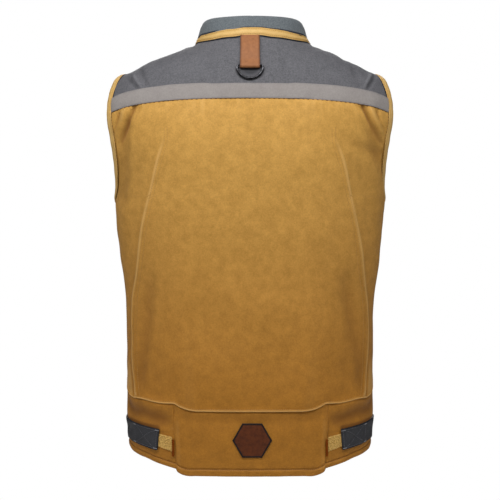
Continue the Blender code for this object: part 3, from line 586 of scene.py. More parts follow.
def mesh_object(name, vertices, faces, material, uv=None, crease=None, sharp=None, closed=True):
    """A piece at the origin; a closed one has its faces turned to point out."""
    mesh = bpy.data.meshes.new(name)
    mesh.from_pydata(vertices.tolist(), [], faces)
    if closed:
        maker = bmesh.new()
        maker.from_mesh(mesh)
        if maker.calc_volume(signed=True) < 0:
            bmesh.ops.reverse_faces(maker, faces=maker.faces[:])
            maker.to_mesh(mesh)
        maker.free()
    mesh.materials.append(material)
    if uv is not None:
        loops = np.empty(len(mesh.loops), np.int32)
        mesh.loops.foreach_get("vertex_index", loops)
        layer = mesh.uv_layers.new(name="cut")
        layer.data.foreach_set("uv", uv[loops].astype(np.float32).ravel())
    if crease is not None:
        field = mesh.attributes.new("crease", "FLOAT", "POINT")
        field.data.foreach_set("value", crease.astype(np.float32).ravel())
    mesh.shade_smooth()
    if sharp:
        mesh.set_sharp_from_angle(angle=math.radians(sharp))
    return linked(name, mesh)


def grid_faces(rows, columns, start=0):
    number = start + np.arange(rows * columns).reshape(rows, columns)
    return np.stack((number[:-1, :-1], number[:-1, 1:], number[1:, 1:], number[1:, :-1]),
                    axis=-1).reshape(-1, 4)


def skin_faces(number, after):
    """Faces between rows of numbered points and the points that follow them in each row."""
    return np.stack((number[:-1], after[:-1], after[1:], number[1:]), axis=-1).reshape(-1, 4)


def cloth_wall(name, points, thickness, material, lining=None, rim=0.0003, crease=None,
               rim_rings=1):
    """Cloth of a real thickness: its outer face is the given grid of points, and its edges
    are rounded outwards by rim."""
    rows, columns = points.shape[:2]
    number = np.arange(rows * columns).reshape(rows, columns)
    edge = np.concatenate((number[0, :-1], number[:-1, -1], number[-1, :0:-1], number[:0:-1, 0]))
    outer = points.reshape(-1, 3)
    inward = grid_normals(points).reshape(-1, 3) * thickness
    way = np.zeros_like(points)
    way[0] += unit(points[0] - points[1])
    way[-1] += unit(points[-1] - points[-2])
    way[:, 0] += unit(points[:, 0] - points[:, 1])
    way[:, -1] += unit(points[:, -1] - points[:, -2])
    way = unit(way.reshape(-1, 3)[edge])
    parts = [outer, outer - inward]
    for ring in range(1, rim_rings + 1):
        angle = math.pi * ring / (rim_rings + 1)
        parts.append(outer[edge] - inward[edge] * (1 - math.cos(angle)) / 2
                     + way * rim * math.sin(angle))
    count = len(outer)
    around = len(edge)
    face_sets = [grid_faces(rows, columns), grid_faces(rows, columns, count)[:, ::-1]]
    levels = [edge]
    levels += [2 * count + around * ring + np.arange(around) for ring in range(rim_rings)]
    levels.append(edge + count)
    for upper, lower in zip(levels, levels[1:]):
        face_sets.append(np.stack((upper, lower, np.roll(lower, -1), np.roll(upper, -1)),
                                  axis=-1))
    flat = np.stack(arc_runs(points), axis=-1).reshape(-1, 2)
    uv = np.concatenate([flat, flat] + [flat[edge]] * rim_rings)
    level = np.zeros(count) if crease is None else crease.ravel()
    level = np.concatenate([level, level * 0] + [level[edge]] * rim_rings)
    thing = mesh_object(name, np.concatenate(parts), np.concatenate(face_sets).tolist(), material,
                        uv, level)
    if lining is not None:
        thing.data.materials.append(lining)
        slots = np.zeros(len(thing.data.polygons), np.int32)
        slots[len(face_sets[0]):len(face_sets[0]) * 2] = 1
        thing.data.polygons.foreach_set("material_index", slots)
    return thing


def sweep(name, rings, material, closed_path, crease=None):
    """Joins rings of points, one after another along a path, into a closed skin."""
    count, size = rings.shape[:2]
    number = np.arange(count * size).reshape(count, size)
    if closed_path:
        number = np.concatenate((number, number[:1]))
    after = np.roll(number, -1, axis=1)
    faces = skin_faces(number, after).tolist()
    if not closed_path:
        faces += [number[0, ::-1].tolist(), number[-1].tolist()]
    middles = rings.mean(axis=1)
    run = np.linalg.norm(np.diff(middles, axis=0, prepend=middles[:1]), axis=-1)
    around = np.linalg.norm(np.diff(rings[0], axis=0, prepend=rings[0][:1]), axis=-1)
    uv = np.broadcast_arrays(np.cumsum(around)[None], np.cumsum(run)[:, None])
    return mesh_object(name, rings.reshape(-1, 3), faces, material,
                       np.stack(uv, axis=-1).reshape(-1, 2), crease, sharp=50)


Cloth = namedtuple("Cloth", "points normals u v")
CLOTHS = {}


def settle(thing, slot, *nodes, body="vest"):
    """Hides the solids that a piece stands for and attaches it to the body it rides. slot is not
    used.
    """
    if nodes:
        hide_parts(*nodes)
    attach(thing, body)
    return thing


def lay_cloth(name, points, wall, look, slot, node, crease=None, held="hung", rests_on=(),
              with_pieces=(), lined=False, **finish):
    """Makes a cloth from the points of its outer face, and keeps its face for
    what is sewn on it."""
    looks = finishes()
    thing = cloth_wall(name, points, wall, looks[look], crease=crease,
                       lining=looks["lining"] if lined else None, **finish)
    settle(thing, slot, node)
    CLOTHS[name] = Cloth(points, grid_normals(points), *arc_runs(points))


# Materials

def srgb(colour):
    """Linear colour from an sRGB hex value, or a colour that is linear already."""
    if not isinstance(colour, str):
        return (*colour, 1.0)
    parts = [int(colour[place:place + 2], 16) / 255 for place in (1, 3, 5)]
    linear = [part / 12.92 if part <= 0.04045 else ((part + 0.055) / 1.055) ** 2.4
              for part in parts]
    return (*linear, 1.0)


def add(tree, kind, inputs=None, output=0, **settings):
    """Adds a node: inputs are values or other nodes' outputs, settings its own properties.
    Gives one of its outputs."""
    node = tree.nodes.new(kind)
    for name, value in settings.items():
        setattr(node, name, value)
    for name, value in (inputs or {}).items():
        if isinstance(value, bpy.types.NodeSocket):
            tree.links.new(value, node.inputs[name])
        else:
            node.inputs[name].default_value = value
    return None if output is None else node.outputs[output]


def new_tree(name):
    material = bpy.data.materials.new(name)
    material.use_nodes = True
    material.node_tree.nodes.clear()
    return material, material.node_tree


def surface(tree, colour, height, depth, finish):
    """The shader: a colour, a relief of a depth in metres, and constant values by socket."""
    relief = add(tree, "ShaderNodeBump", {"Height": height, "Distance": depth, "Strength": 0.8})
    shader = add(tree, "ShaderNodeBsdfPrincipled",
                 {"Base Color": colour, "Normal": relief, **finish})
    add(tree, "ShaderNodeOutputMaterial", {"Surface": shader}, output=None)


# Period of the wave texture at a scale of 1, and the scale of the finest flecks that show
WAVE_PERIOD = 0.31416
FLECKS = 420.0
# Painted highlight: cloth is painted paler towards the nape, where the light from above falls
# most: not yet at the first distance, and in full at the second
NAPE = (0.0, 0.0, 0.0)
PAINTED_LIGHT_FAR = 0.66
PAINTED_LIGHT_NEAR = 0.17


def cloth_material(name, dark, light, thread, weave="XY", mottle=0.02, speckle=0.6, depth=0.0002,
                   folds=None, painted_light_tint=None, **finish):
    """Woven cloth. Threads follow the cut at a spacing in metres, in the ways that weave names,
    and dye and wear vary softly over it. folds are the tones of the painted highlight on
    ridges and of the painted shade in hollows, and painted_light_tint is how much paler each
    colour is painted at the shoulders, as a highlight."""
    material, tree = new_tree(name)
    cut = add(tree, "ShaderNodeUVMap", uv_map="cut")
    place = add(tree, "ShaderNodeTexCoord", output="Object")
    pattern = 1.0
    for way in weave:
        threads = add(tree, "ShaderNodeTexWave", {"Vector": cut, "Scale": WAVE_PERIOD / thread,
                                                  "Distortion": 0.5}, output=1,
                      bands_direction={"D": "DIAGONAL"}.get(way, way))
        pattern = add(tree, "ShaderNodeMath", {0: threads, 1: pattern}, operation="MULTIPLY")
    clouds = add(tree, "ShaderNodeTexNoise", {"Vector": place, "Scale": 1 / mottle, "Detail": 5.0,
                                              "Roughness": 0.62})
    flecks = add(tree, "ShaderNodeTexNoise", {"Vector": place, "Scale": FLECKS, "Detail": 3.0,
                                              "Roughness": 0.7})
    share = add(tree, "ShaderNodeMix", {0: speckle, 2: clouds, 3: flecks})
    share = add(tree, "ShaderNodeMath", {0: pattern, 1: 0.05, 2: share}, operation="MULTIPLY_ADD")
    share = add(tree, "ShaderNodeMapRange", {"Value": share, "From Min": 0.38, "From Max": 0.65})
    colour = add(tree, "ShaderNodeMix", {0: share, 6: srgb(dark), 7: srgb(light)}, output=2,
                 data_type="RGBA")
    # Painted highlight: each colour is painted paler towards the nape
    if painted_light_tint:
        away = add(tree, "ShaderNodeVectorMath", {0: place, 1: NAPE}, output=1,
                   operation="DISTANCE")
        paler = add(tree, "ShaderNodeMapRange", {"Value": away, "From Min": PAINTED_LIGHT_FAR,
                                                 "From Max": PAINTED_LIGHT_NEAR},
                    interpolation_type="SMOOTHSTEP")
        colour = add(tree, "ShaderNodeMix", {0: paler, 6: colour, 7: (*painted_light_tint, 1.0)}, output=2,
                     data_type="RGBA", blend_type="MULTIPLY")
    # Painted highlight on ridges and painted shade in hollows, read from the crease attribute
    crease = add(tree, "ShaderNodeAttribute", output="Fac", attribute_name="crease")
    for tone, end in zip(folds or (), (1.0, -1.0)):
        wear_and_painted_light = add(tree, "ShaderNodeMapRange", {"Value": crease, "From Min": 0.08 * end,
                                                "From Max": end, "To Max": 0.85})
        colour = add(tree, "ShaderNodeMix", {0: wear_and_painted_light, 6: colour, 7: srgb(tone)}, output=2,
                     data_type="RGBA")
    height = add(tree, "ShaderNodeMath", {0: flecks, 1: speckle, 2: pattern},
                 operation="MULTIPLY_ADD")
    surface(tree, colour, height, depth, finish_values(finish))
    return material


def by_socket(finish):
    return {name.replace("_", " "): value for name, value in finish.items()}


def finish_values(finish):
    """Shader values by socket: cloth is matt and has little gloss unless it says otherwise."""
    values = {"Roughness": 0.7, "Specular IOR Level": 0.3, "Sheen Roughness": 0.5}
    return values | by_socket(finish)


def pile_material(name, dark, light, clump, depth, sheen):
    """Brushed pile: short fibres that scatter light, in clumps of a size in metres."""
    material, tree = new_tree(name)
    place = add(tree, "ShaderNodeTexCoord", output="Object")
    clumps = add(tree, "ShaderNodeTexNoise", {"Vector": place, "Scale": 1 / clump, "Detail": 4.0,
                                              "Roughness": 0.75})
    share = add(tree, "ShaderNodeMapRange", {"Value": clumps, "From Min": 0.35, "From Max": 0.65})
    colour = add(tree, "ShaderNodeMix", {0: share, 6: srgb(dark), 7: srgb(light)}, output=2,
                 data_type="RGBA")
    surface(tree, colour, clumps, depth, finish_values({"Roughness": 0.95, "Sheen_Weight": sheen}))
    return material


def leather_material(name, dark, light, edge, roughness):
    """Oiled leather: pores and small creases, darker where its edges are burnished."""
    material, tree = new_tree(name)
    place = add(tree, "ShaderNodeTexCoord", output="Object")
    pores = add(tree, "ShaderNodeTexVoronoi", {"Vector": place, "Scale": 1 / 0.0016})
    clouds = add(tree, "ShaderNodeTexNoise", {"Vector": place, "Scale": 160.0, "Detail": 5.0,
                                              "Roughness": 0.65})
    share = add(tree, "ShaderNodeMapRange", {"Value": clouds, "From Min": 0.3, "From Max": 0.7})
    colour = add(tree, "ShaderNodeMix", {0: share, 6: srgb(dark), 7: srgb(light)}, output=2,
                 data_type="RGBA")
    burnish = add(tree, "ShaderNodeAttribute", output="Fac", attribute_name="crease")
    colour = add(tree, "ShaderNodeMix", {0: burnish, 6: colour, 7: srgb(edge)}, output=2,
                 data_type="RGBA")
    height = add(tree, "ShaderNodeMath", {0: clouds, 1: 0.8, 2: pores}, operation="MULTIPLY_ADD")
    surface(tree, colour, height, 0.00025, finish_values({"Roughness": roughness}))
    return material


def hard_material(name, colour, wear_and_painted_light, grain, **finish):
    """Metal, moulded polymer or twisted thread, a little uneven at a grain in metres."""
    material, tree = new_tree(name)
    place = add(tree, "ShaderNodeTexCoord", output="Object")
    rub = add(tree, "ShaderNodeTexNoise", {"Vector": place, "Scale": 1 / grain, "Detail": 4.0})
    share = add(tree, "ShaderNodeMapRange", {"Value": rub, "From Min": 0.42, "From Max": 0.72})
    tone = add(tree, "ShaderNodeMix", {0: share, 6: srgb(colour), 7: srgb(wear_and_painted_light)}, output=2,
               data_type="RGBA")
    surface(tree, tone, rub, 0.00005, by_socket(finish))
    return material


def colour_property(name, text, default):
    return FloatVectorProperty(name=name, description=text, subtype="COLOR", min=0.0, max=1.0,
                               default=srgb(default)[:3])


class VestColours(bpy.types.PropertyGroup):
    """Colours of the vest's cloth and leather."""
    canvas_dark: colour_property("Canvas, dark", "Darker tone of the waxed canvas", "#A1691A")
    canvas_light: colour_property("Canvas, light", "Lighter tone of the waxed canvas", "#BA7C24")
    yoke_dark: colour_property("Yoke, dark", "Darker tone of the yoke's twill", "#535357")
    yoke_light: colour_property("Yoke, light", "Lighter tone of the yoke's twill", "#6D6C70")
    tape: colour_property("Binding tape", "Colour of the neck and armhole tape", "#DCB36C")
    loop_leather: colour_property("Hang loop", "Leather of the hang loop", "#A26A41")
    badge_leather: colour_property("Badge", "Leather of the hexagonal badge", "#6A3312")


class VestSizes(bpy.types.PropertyGroup):
    """Sizes of the vest's folds, weave and stitches."""
    fold_gain: FloatProperty(name="Fold depth", default=1.0, min=0.0, max=2.0,
                             description="How deep the worn folds are")
    stitch: FloatProperty(name="Stitch length", default=0.0030, unit="LENGTH",
                          description="Length of one stitch")
    thread: FloatProperty(name="Thread", default=0.0007, unit="LENGTH",
                          description="Thickness of the sewing thread")
    tooth_pitch: FloatProperty(name="Zip tooth pitch", default=0.0025, unit="LENGTH",
                               description="Distance between teeth on one side of the zip")
    seed: IntProperty(name="Seed", default=7,
                      description="Varies the small unevenness of the cloth")


class VestStage(bpy.types.PropertyGroup):
    """Camera and light."""
    distance: FloatProperty(name="Camera distance", default=3.1, unit="LENGTH",
                            description="From the camera to the middle of the vest")
    height: FloatProperty(name="Camera height", default=-0.342, unit="LENGTH",
                          description="Height of the level camera")
    lens: FloatProperty(name="Lens", default=135.0, description="Focal length in millimetres")
    key: FloatProperty(name="Key light", default=29.0, unit="POWER",
                       description="Soft light above and behind the wearer's shoulders")
    side: FloatProperty(name="Side lights", default=6.0, unit="POWER",
                        description="Each light beside the vest")
    front: FloatProperty(name="Front light", default=34.0, unit="POWER",
                         description="Light on the fronts")
    fill: FloatProperty(name="Surroundings", default=0.06,
                        description="Strength of the even light from all round")


MATERIALS = {}


def finishes():
    """Every material of the vest, made once. Threads finer than a millimetre are drawn a
    little coarser than they are, so that they show."""
    if MATERIALS:
        return MATERIALS
    colours = bpy.context.scene.vest_colours
    # A cloth's folds are the tones of its painted highlight and of its painted shade
    MATERIALS.update(
        # Waxed cotton canvas: dense and matt, finely flecked, and painted paler towards the nape as
        # a highlight from the light above
        canvas=cloth_material("waxed_cotton_canvas", colours.canvas_dark, colours.canvas_light,
                              0.0012, mottle=0.014, speckle=0.5, folds=("#E9B96E", "#7A4A10"),
                              painted_light_tint=(1.46, 1.94, 4.9), Roughness=0.62, Sheen_Weight=0.05),
        # The inside of the same canvas: flat and brown, with no wax on it
        lining=cloth_material("cotton_lining", "#6B5230", "#7C6039", 0.0012, Roughness=0.9),
        # Dense polyester twill: a fine diagonal and cool grey flecks
        yoke=cloth_material("polyester_twill", colours.yoke_dark, colours.yoke_light, 0.0013,
                            weave="D", mottle=0.010, speckle=0.75,
                            folds=("#9A9A9E", "#2E2E32"), Roughness=0.75),
        # Glass beads on cloth: an even, silky grey
        band=cloth_material("glass_bead_tape", "#8C8582", "#99938F", 0.0009, weave="Y",
                            depth=0.00005, folds=("#A8A29E", "#5E5A62"), Roughness=0.75),
        # Brushed knit: soft grey clumps of fibre with no thread to be seen
        collar=pile_material("brushed_knit", "#575D61", "#737A7E", 0.0022, 0.0010, 0.15),
        # Smooth woven bias tape: pale, with fine ribs along it
        tape=cloth_material("bias_tape", "#CA9F58", colours.tape, 0.0011, weave="Y",
                            depth=0.00012, folds=("#F8DC9E", "#A87C38"), Roughness=0.55),
        # Dark backing that edges the tapes: a thin navy line
        backing=cloth_material("dark_facing", "#23262E", "#30343E", 0.0009, Roughness=0.8),
        # Nylon webbing: near black, with strong ribs and a slight shine
        webbing=cloth_material("nylon_webbing", "#303034", "#3F3F43", 0.0016, weave="Y",
                               mottle=0.01, depth=0.0004, folds=("#5A5A5E", "#101118"),
                               Roughness=0.5),
        # The loop side of hook and loop: pale tangled fibres
        pile=pile_material("loop_pile", "#C29548", "#E8BE6C", 0.0016, 0.0016, 0.15),
        # Waxed and oiled leather: brown with pores, dark where the edges are burnished
        badge=leather_material("waxed_leather", "#4B220B", colours.badge_leather, "#0E0B0B", 0.6),
        loop=leather_material("oiled_leather", "#8D5B37", colours.loop_leather, "#5E3820", 0.6),
        # Blackened steel: dark and glossy, a little rubbed
        metal=hard_material("blackened_steel", "#2C2C2E", "#5C5C60", 0.004, Roughness=0.28,
                            Metallic=1.0),
        # Moulded acetal teeth: dark with a soft shine
        teeth=hard_material("moulded_acetal", "#222224", "#2C2C2E", 0.004, Roughness=0.4),
        # Woven zip tape: near black and matt, with ribs across it
        zip_cloth=cloth_material("zip_tape", "#2B2B2E", "#3A3A3D", 0.0009, weave="Y",
                                 Roughness=0.85),
        # Twisted polyester thread: slightly glossy
        thread_tan=hard_material("tan_thread", "#A87A38", "#C69850", 0.0011, Roughness=0.5),
        thread_brown=hard_material("brown_thread", "#6A3F14", "#8A5A26", 0.0011, Roughness=0.5),
        thread_grey=hard_material("grey_thread", "#77777B", "#96969A", 0.0011, Roughness=0.5),
        thread_dark=hard_material("dark_grey_thread", "#5A5A60", "#77777D", 0.0011, Roughness=0.5),
        thread_red=hard_material("red_brown_thread", "#7E3C0A", "#9A5214", 0.0011, Roughness=0.9,
                                 Specular_IOR_Level=0.1),
    )
    return MATERIALS


# The back and its seams

# The rolled edge of the pouch, seen square on
PouchPoint = namedtuple("PouchPoint", "height x")
POUCH_EDGE = (
    PouchPoint(-0.5790, 0.1862), PouchPoint(-0.5665, 0.1888), PouchPoint(-0.5400, 0.1906),
    PouchPoint(-0.5000, 0.1915), PouchPoint(-0.4600, 0.1917), PouchPoint(-0.4224, 0.1903),
    PouchPoint(-0.3800, 0.1842), PouchPoint(-0.3400, 0.1788), PouchPoint(-0.3100, 0.1746),
    PouchPoint(-0.2800, 0.1685), PouchPoint(-0.2400, 0.1590), PouchPoint(-0.2020, 0.1494),
    PouchPoint(-0.1700, 0.1390),
)
POUCH_LINE = smooth_column([spot.height for spot in POUCH_EDGE], [spot.x for spot in POUCH_EDGE])
# The row at the underarm, how much closer the rows lie there, and how far up and down
UNDERARM_ROW = 0.690
UNDERARM_CLOSER = 0.75
UNDERARM_NEAR = 0.03
# How far the pouch's cloth stands up, how much further its edge rolls out, and how far the
# back reaches down over its seam
POUCH_STEP = 0.0016
POUCH_ROLL = 0.0011
SEAM_OVERLAP = 0.0014

BACK_FOLDS = (
    # Puckers that run from the band down to the right armhole, then to the left one
    Fold((0.1835, -0.1130), (0.2135, -0.1670), 0.0036, -0.0052, -0.0026),
    Fold((0.1966, -0.1170), (0.2150, -0.1540), 0.0036, 0.0026, 0.0012),
    Fold((0.2080, -0.1220), (0.2190, -0.1500), 0.0024, -0.0024, -0.0010),
    Fold((0.1758, -0.1130), (0.1805, -0.1210), 0.0030, -0.0016, 0.0),
    Fold((0.2000, -0.1600), (0.2120, -0.2050), 0.0110, -0.0040, -0.0026),
    Fold((0.1680, -0.1740), (0.2040, -0.1860), 0.0110, -0.0020, -0.0028),
    Fold((0.1700, -0.1100), (0.1800, -0.1450), 0.0040, 0.0010, 0.0004),
    Fold((-0.1830, -0.1120), (-0.2080, -0.1660), 0.0038, -0.0052, -0.0026),
    Fold((-0.1990, -0.1180), (-0.2130, -0.1560), 0.0036, 0.0026, 0.0012),
    Fold((-0.2090, -0.1230), (-0.2190, -0.1540), 0.0024, -0.0022, -0.0010),
    Fold((-0.2000, -0.1500), (-0.2090, -0.2500), 0.0115, -0.0044, -0.0038),
    Fold((-0.1758, -0.1160), (-0.1870, -0.1470), 0.0042, -0.0018, -0.0004),
    Fold((-0.1700, -0.1100), (-0.1780, -0.1400), 0.0036, 0.0010, 0.0),
) + mirrored(
    # The pouch's hollow beside its rolled edge, the side strip and the fullness over the blades
    Fold((0.1600, -0.4050), (0.1810, -0.5480), 0.0110, -0.0034, -0.0044),
    Fold((0.1600, -0.4400), (0.1530, -0.5700), 0.0150, -0.0014, -0.0016),
    Fold((0.1800, -0.2200), (0.1950, -0.3300), 0.0100, -0.0018, -0.0010),
    Fold((0.0900, -0.1300), (0.1300, -0.3000), 0.0300, 0.0020, 0.0014),
    Fold((0.1050, -0.4200), (0.0950, -0.5850), 0.0230, 0.0014, 0.0020),
)


def drawn_in(to_side, height):
    """How far the body hangs in at its side seam, most under the arm."""
    depth = 0.0015 * hump(height + 0.330, 0.110) * ease(-0.250, -0.290, height)
    return depth * ease(0.045, 0.0, to_side)


def build_back(context):
    sizes = context.scene.vest_sizes
    share = closer_sides(241)[None, :] * (1 - SEAM_TRIM)
    row = closer(170, 0.7)[:, None]
    # The rows lie closer together at the underarm too, where the columns spread
    row = row - UNDERARM_CLOSER * (row - UNDERARM_ROW) * hump(row - UNDERARM_ROW, UNDERARM_NEAR)
    points = torso_back(share, mix(pouch_seam(share) - SEAM_OVERLAP, yoke_seam(share) - HALF_GAP,
                                   row))
    x, z = points[..., 0], points[..., 2]
    u, v = arc_runs(points)
    from_top = below_top(v)
    from_side = within_sides(u)
    facing = np.abs(unit(np.gradient(points, axis=1))[..., 0]).clip(0.3)
    inside = (np.interp(z, *POUCH_LINE) - np.abs(x)) / facing
    inside += 0.0010 * uneven(z, np.sign(x), 0.09, sizes.seed)
    fade = ease(-0.150, -0.200, z)
    relief, shade = creases(BACK_FOLDS, x + 0.0016 * uneven(z, 0, 0.16, sizes.seed + 3), z)
    relief += POUCH_STEP * ease(-0.0030, 0.0030, inside) * ease(0.045, 0.0, inside) * fade
    broad = 0.0030 + 0.0014 * ease(-0.450, -0.550, z)
    relief += POUCH_ROLL * hump(inside - 0.0015, broad + 0.0004) * fade * ease(0.30, 0.65, facing)
    # Painted highlight along the pouch's rolled edge, and painted shade just outside it
    shade += (0.85 * hump(inside - 0.0012, broad) - 0.20 * hump(inside + 0.0060, 0.0050)) * fade
    # Painted light: the strip outside the pouch's edge is painted lighter low down
    shade += 0.55 * ease(-0.0040, -0.0090, inside) * ease(-0.500, -0.550, z)
    relief += 0.0008 * uneven(x, z, 0.13, sizes.seed + 1)
    relief += 0.0003 * uneven(x, z, 0.045, sizes.seed + 2)
    relief -= 0.0012 * hump(from_side, 0.004) * ease(-0.2480, -0.2700, z) + drawn_in(from_side, z)
    # The binding holds the armhole's edge
    relief *= mix(1.0, ease(0.0, 0.010, from_side), ease(-0.262, -0.250, z))
    # Gathers below the band, with painted highlight and painted shade along them
    gathers = uneven(x, z * 0.12, 0.013, sizes.seed + 4) * ease(0.045, 0.004, from_top)
    relief += 0.0003 * gathers
    shade += 0.14 * gathers
    # The band holds the top flat, and the turned edge stands up along the pouch seam,
    # with a painted highlight on it
    relief *= (0.25 + 0.75 * ease(0.0, 0.012, from_top)) * (0.3 + 0.7 * ease(0.0, 0.014, v))
    stand = 0.0013 * hump(v - 0.0014, 0.0018) + 0.0005 * ease(0.010, 0.0, v)
    relief += stand * ease(0.96, 0.82, np.abs(share))
    shade = shade * ease(0.0, 0.006, v) + 0.9 * hump(v - 0.0010, 0.0013)
    lay_cloth("canvas_back", raised(points, relief * sizes.fold_gain), CANVAS, "canvas", "canvas",
              "back_panel", shade, rests_on=["yoke"], lined=True)


# The height of the shadow painted on the yoke under the hang loop, inside the ring
LOOP_SHADOW_HEIGHT = -0.0560
YOKE_FOLDS = (
    Fold((-0.1944, -0.0680), (-0.1810, -0.0830), 0.0034, -0.0028, -0.0018),
    Fold((-0.1870, -0.0610), (-0.1760, -0.0800), 0.0034, 0.0020, 0.0014),
    Fold((-0.1760, -0.0540), (-0.1650, -0.0790), 0.0040, -0.0026, -0.0014),
    Fold((-0.1480, -0.0420), (-0.1400, -0.0600), 0.0060, -0.0014, 0.0),
    Fold((-0.0640, -0.0300), (-0.0560, -0.0720), 0.0090, -0.0016, -0.0012),
    Fold((0.2010, -0.0640), (0.1920, -0.0790), 0.0032, -0.0026, -0.0016),
    Fold((0.1950, -0.0600), (0.1840, -0.0800), 0.0034, 0.0022, 0.0014),
    Fold((0.1680, -0.0470), (0.1750, -0.0740), 0.0070, -0.0022, -0.0012),
    Fold((0.1500, -0.0400), (0.1420, -0.0620), 0.0060, -0.0012, 0.0),
    Fold((0.0560, -0.0480), (0.0600, -0.0730), 0.0070, -0.0014, -0.0010),
)


# How far the yoke and the fronts end before their seams, as shares of their rise
YOKE_LOW_TRIM = 0.0014
YOKE_TOP_TRIM = 0.0017
FRONT_TOP_TRIM = 0.0012


def build_yoke(context):
    sizes = context.scene.vest_sizes
    share = closer_sides(241, 0.3)[None, :] * (1 - SEAM_TRIM)
    rise = mix(YOKE_LOW_TRIM, 1 - YOKE_TOP_TRIM, closer(76, 0.3))[:, None]
    points = as_worn(yoke_sheet(share, rise))
    x, z = points[..., 0], points[..., 2]
    u, v = arc_runs(points)
    relief, shade = creases(YOKE_FOLDS, x, z)
    relief += 0.0007 * uneven(u, v, 0.10, sizes.seed + 11)
    relief += 0.0003 * uneven(u, v, 0.03, sizes.seed + 12)
    # The band holds the low edge flat, and the neck and shoulder seams pull the cloth in,
    # with painted shade along them
    from_top = below_top(v)
    calm = ease(YOKE_LOFT - 0.05, YOKE_LOFT + 0.05, rise) * ease(0.0, 0.010, from_top)
    relief = relief * calm - 0.0010 * hump(from_top, 0.0025)
    shade = shade * calm - 0.8 * hump(from_top, 0.0030)
    # Painted shadow of the hang loop on the yoke, inside the ring
    shade -= 1.3 * hump(x, 0.015) * hump(z - LOOP_SHADOW_HEIGHT, 0.0085)
    # Painted shade where the cloth rolls over the shoulder into its seam
    shade -= 0.6 * ease(0.016, 0.004, from_top) * ease(0.35, 0.60, np.abs(share))
    lay_cloth("yoke", raised(points, relief * sizes.fold_gain), CANVAS, "yoke", "yoke_cloth",
              "back_yoke", shade, lined=True)


# Under the hang loop the band's top edge is pulled down: not yet at the first of these
# shares, and in full from the second one inwards
BAND_PULL = 0.0013
BAND_PULL_SHARES = (0.25, 0.20)
# How far from the panel's side the band ends
BAND_END = 0.0095


def build_band(context):
    seed = context.scene.vest_sizes.seed
    edge = band_top(1.0)
    across = np.linalg.norm(torso_back(1.0, edge) - torso_back(1 - STEP, edge)) / STEP
    share = np.linspace(-1, 1, 221)[None, :] * (1 - BAND_END / across)
    top = band_top(share) - BAND_PULL * ease(*BAND_PULL_SHARES, np.abs(share))
    points = torso_back(share, mix(band_low(share), top, closer(21)[:, None]))
    u, v = arc_runs(points)
    half = v.max(axis=0, keepdims=True) / 2
    relief = GAP + TAPE + 0.0003 * (1 - (v / half - 1) ** 2)
    relief += 0.0003 * uneven(u, v * 0.3, 0.05, seed + 21)
    # Painted shade along both edges, and a tone that varies along the band
    shade = -0.3 * hump(np.abs(v - half) - half, 0.0010) + 0.12 * uneven(u, 0, 0.06, seed + 23)
    lay_cloth("reflective_tape", raised(points, relief), TAPE, "band", "reflective_tape",
              "reflective_band", shade, held="stretched", rests_on=["yoke"])


# How high the turned hems are, up to their stitches
HEM = 0.0105
SIDE_HEM = 0.0080
# Where the tail ends on each side, and its gap to the hem's sides, as shares of the panel
TAIL_EDGES = {-1: 0.3920, 1: 0.4020}
TAIL_GAP = 0.0005


def hem_relief(u, v, seed, depth, hem=HEM):
    """A turned hem: it stands puffed up to its stitch line, which pulls the cloth in."""
    relief = 0.0010 * ease(hem + 0.0004, hem - 0.0018, v) - 0.0010 * hump(v - hem - 0.0004, 0.0014)
    relief -= 0.0004 * hump(v, 0.0012)
    relief += 0.0003 * uneven(u, v, 0.02, seed) * ease(hem, 0.0, v)
    relief += depth * uneven(u, v, 0.06, seed + 1) * ease(hem, hem + 0.03, v)
    # Painted highlight on the puff and painted shade along the stitch line; the hem is a little
    # darker
    shade = 0.30 * hump(v - hem + 0.0020, 0.0013) - 0.65 * hump(v - hem - 0.0003, 0.0012)
    shade -= 0.12 * ease(hem + 0.0010, hem - 0.0010, v)
    return relief, shade


# How far a closed tab pulls its cloth in where it pulls most
CINCH = 0.0022


def cinch(turn, height):
    """How far the tab pulls the side in: a turn of 1 is the side seam and 2 the zip."""
    turn = np.abs(turn)
    near_tab = hump(height - tab_middle(turn), 0.014)
    return CINCH * near_tab * ease(0.60, 0.85, turn) * ease(1.45, 1.25, turn)


def build_tail(context):
    seed = context.scene.vest_sizes.seed
    share = np.linspace(-TAIL_EDGES[-1], TAIL_EDGES[1], 141)[None, :]
    low = hem_edge(np.linspace(-TAIL_SHARE, TAIL_SHARE, 141)[None, :])
    low = low - 0.0010 * hump(np.abs(share) - 0.33, 0.035)
    points = torso_back(share, mix(low, pouch_seam(share) - HALF_GAP,
                                   closer(96)[:, None]))
    u, v = arc_runs(points)
    relief, shade = hem_relief(u, v, seed + 31, 0.0005)
    top = below_top(v)
    side = within_sides(u)
    relief -= 0.0012 * hump(top - 0.016, 0.010) + 0.0008 * ease(0.006, 0.0, top)
    relief += 0.0008 * hump(side - 0.010, 0.009)
    # Painted highlight along the raised sides, and painted shade under the pouch seam
    shade += 0.16 * hump(side - 0.008, 0.006) - 0.9 * ease(0.0034, 0.0006, top)
    shade -= 0.22 * hump(top - 0.012, 0.010)
    lay_cloth("canvas_tail", raised(points, relief), CANVAS, "canvas", "tail_canvas",
              "tail_panel", shade, rests_on=["canvas_back"], lined=True)


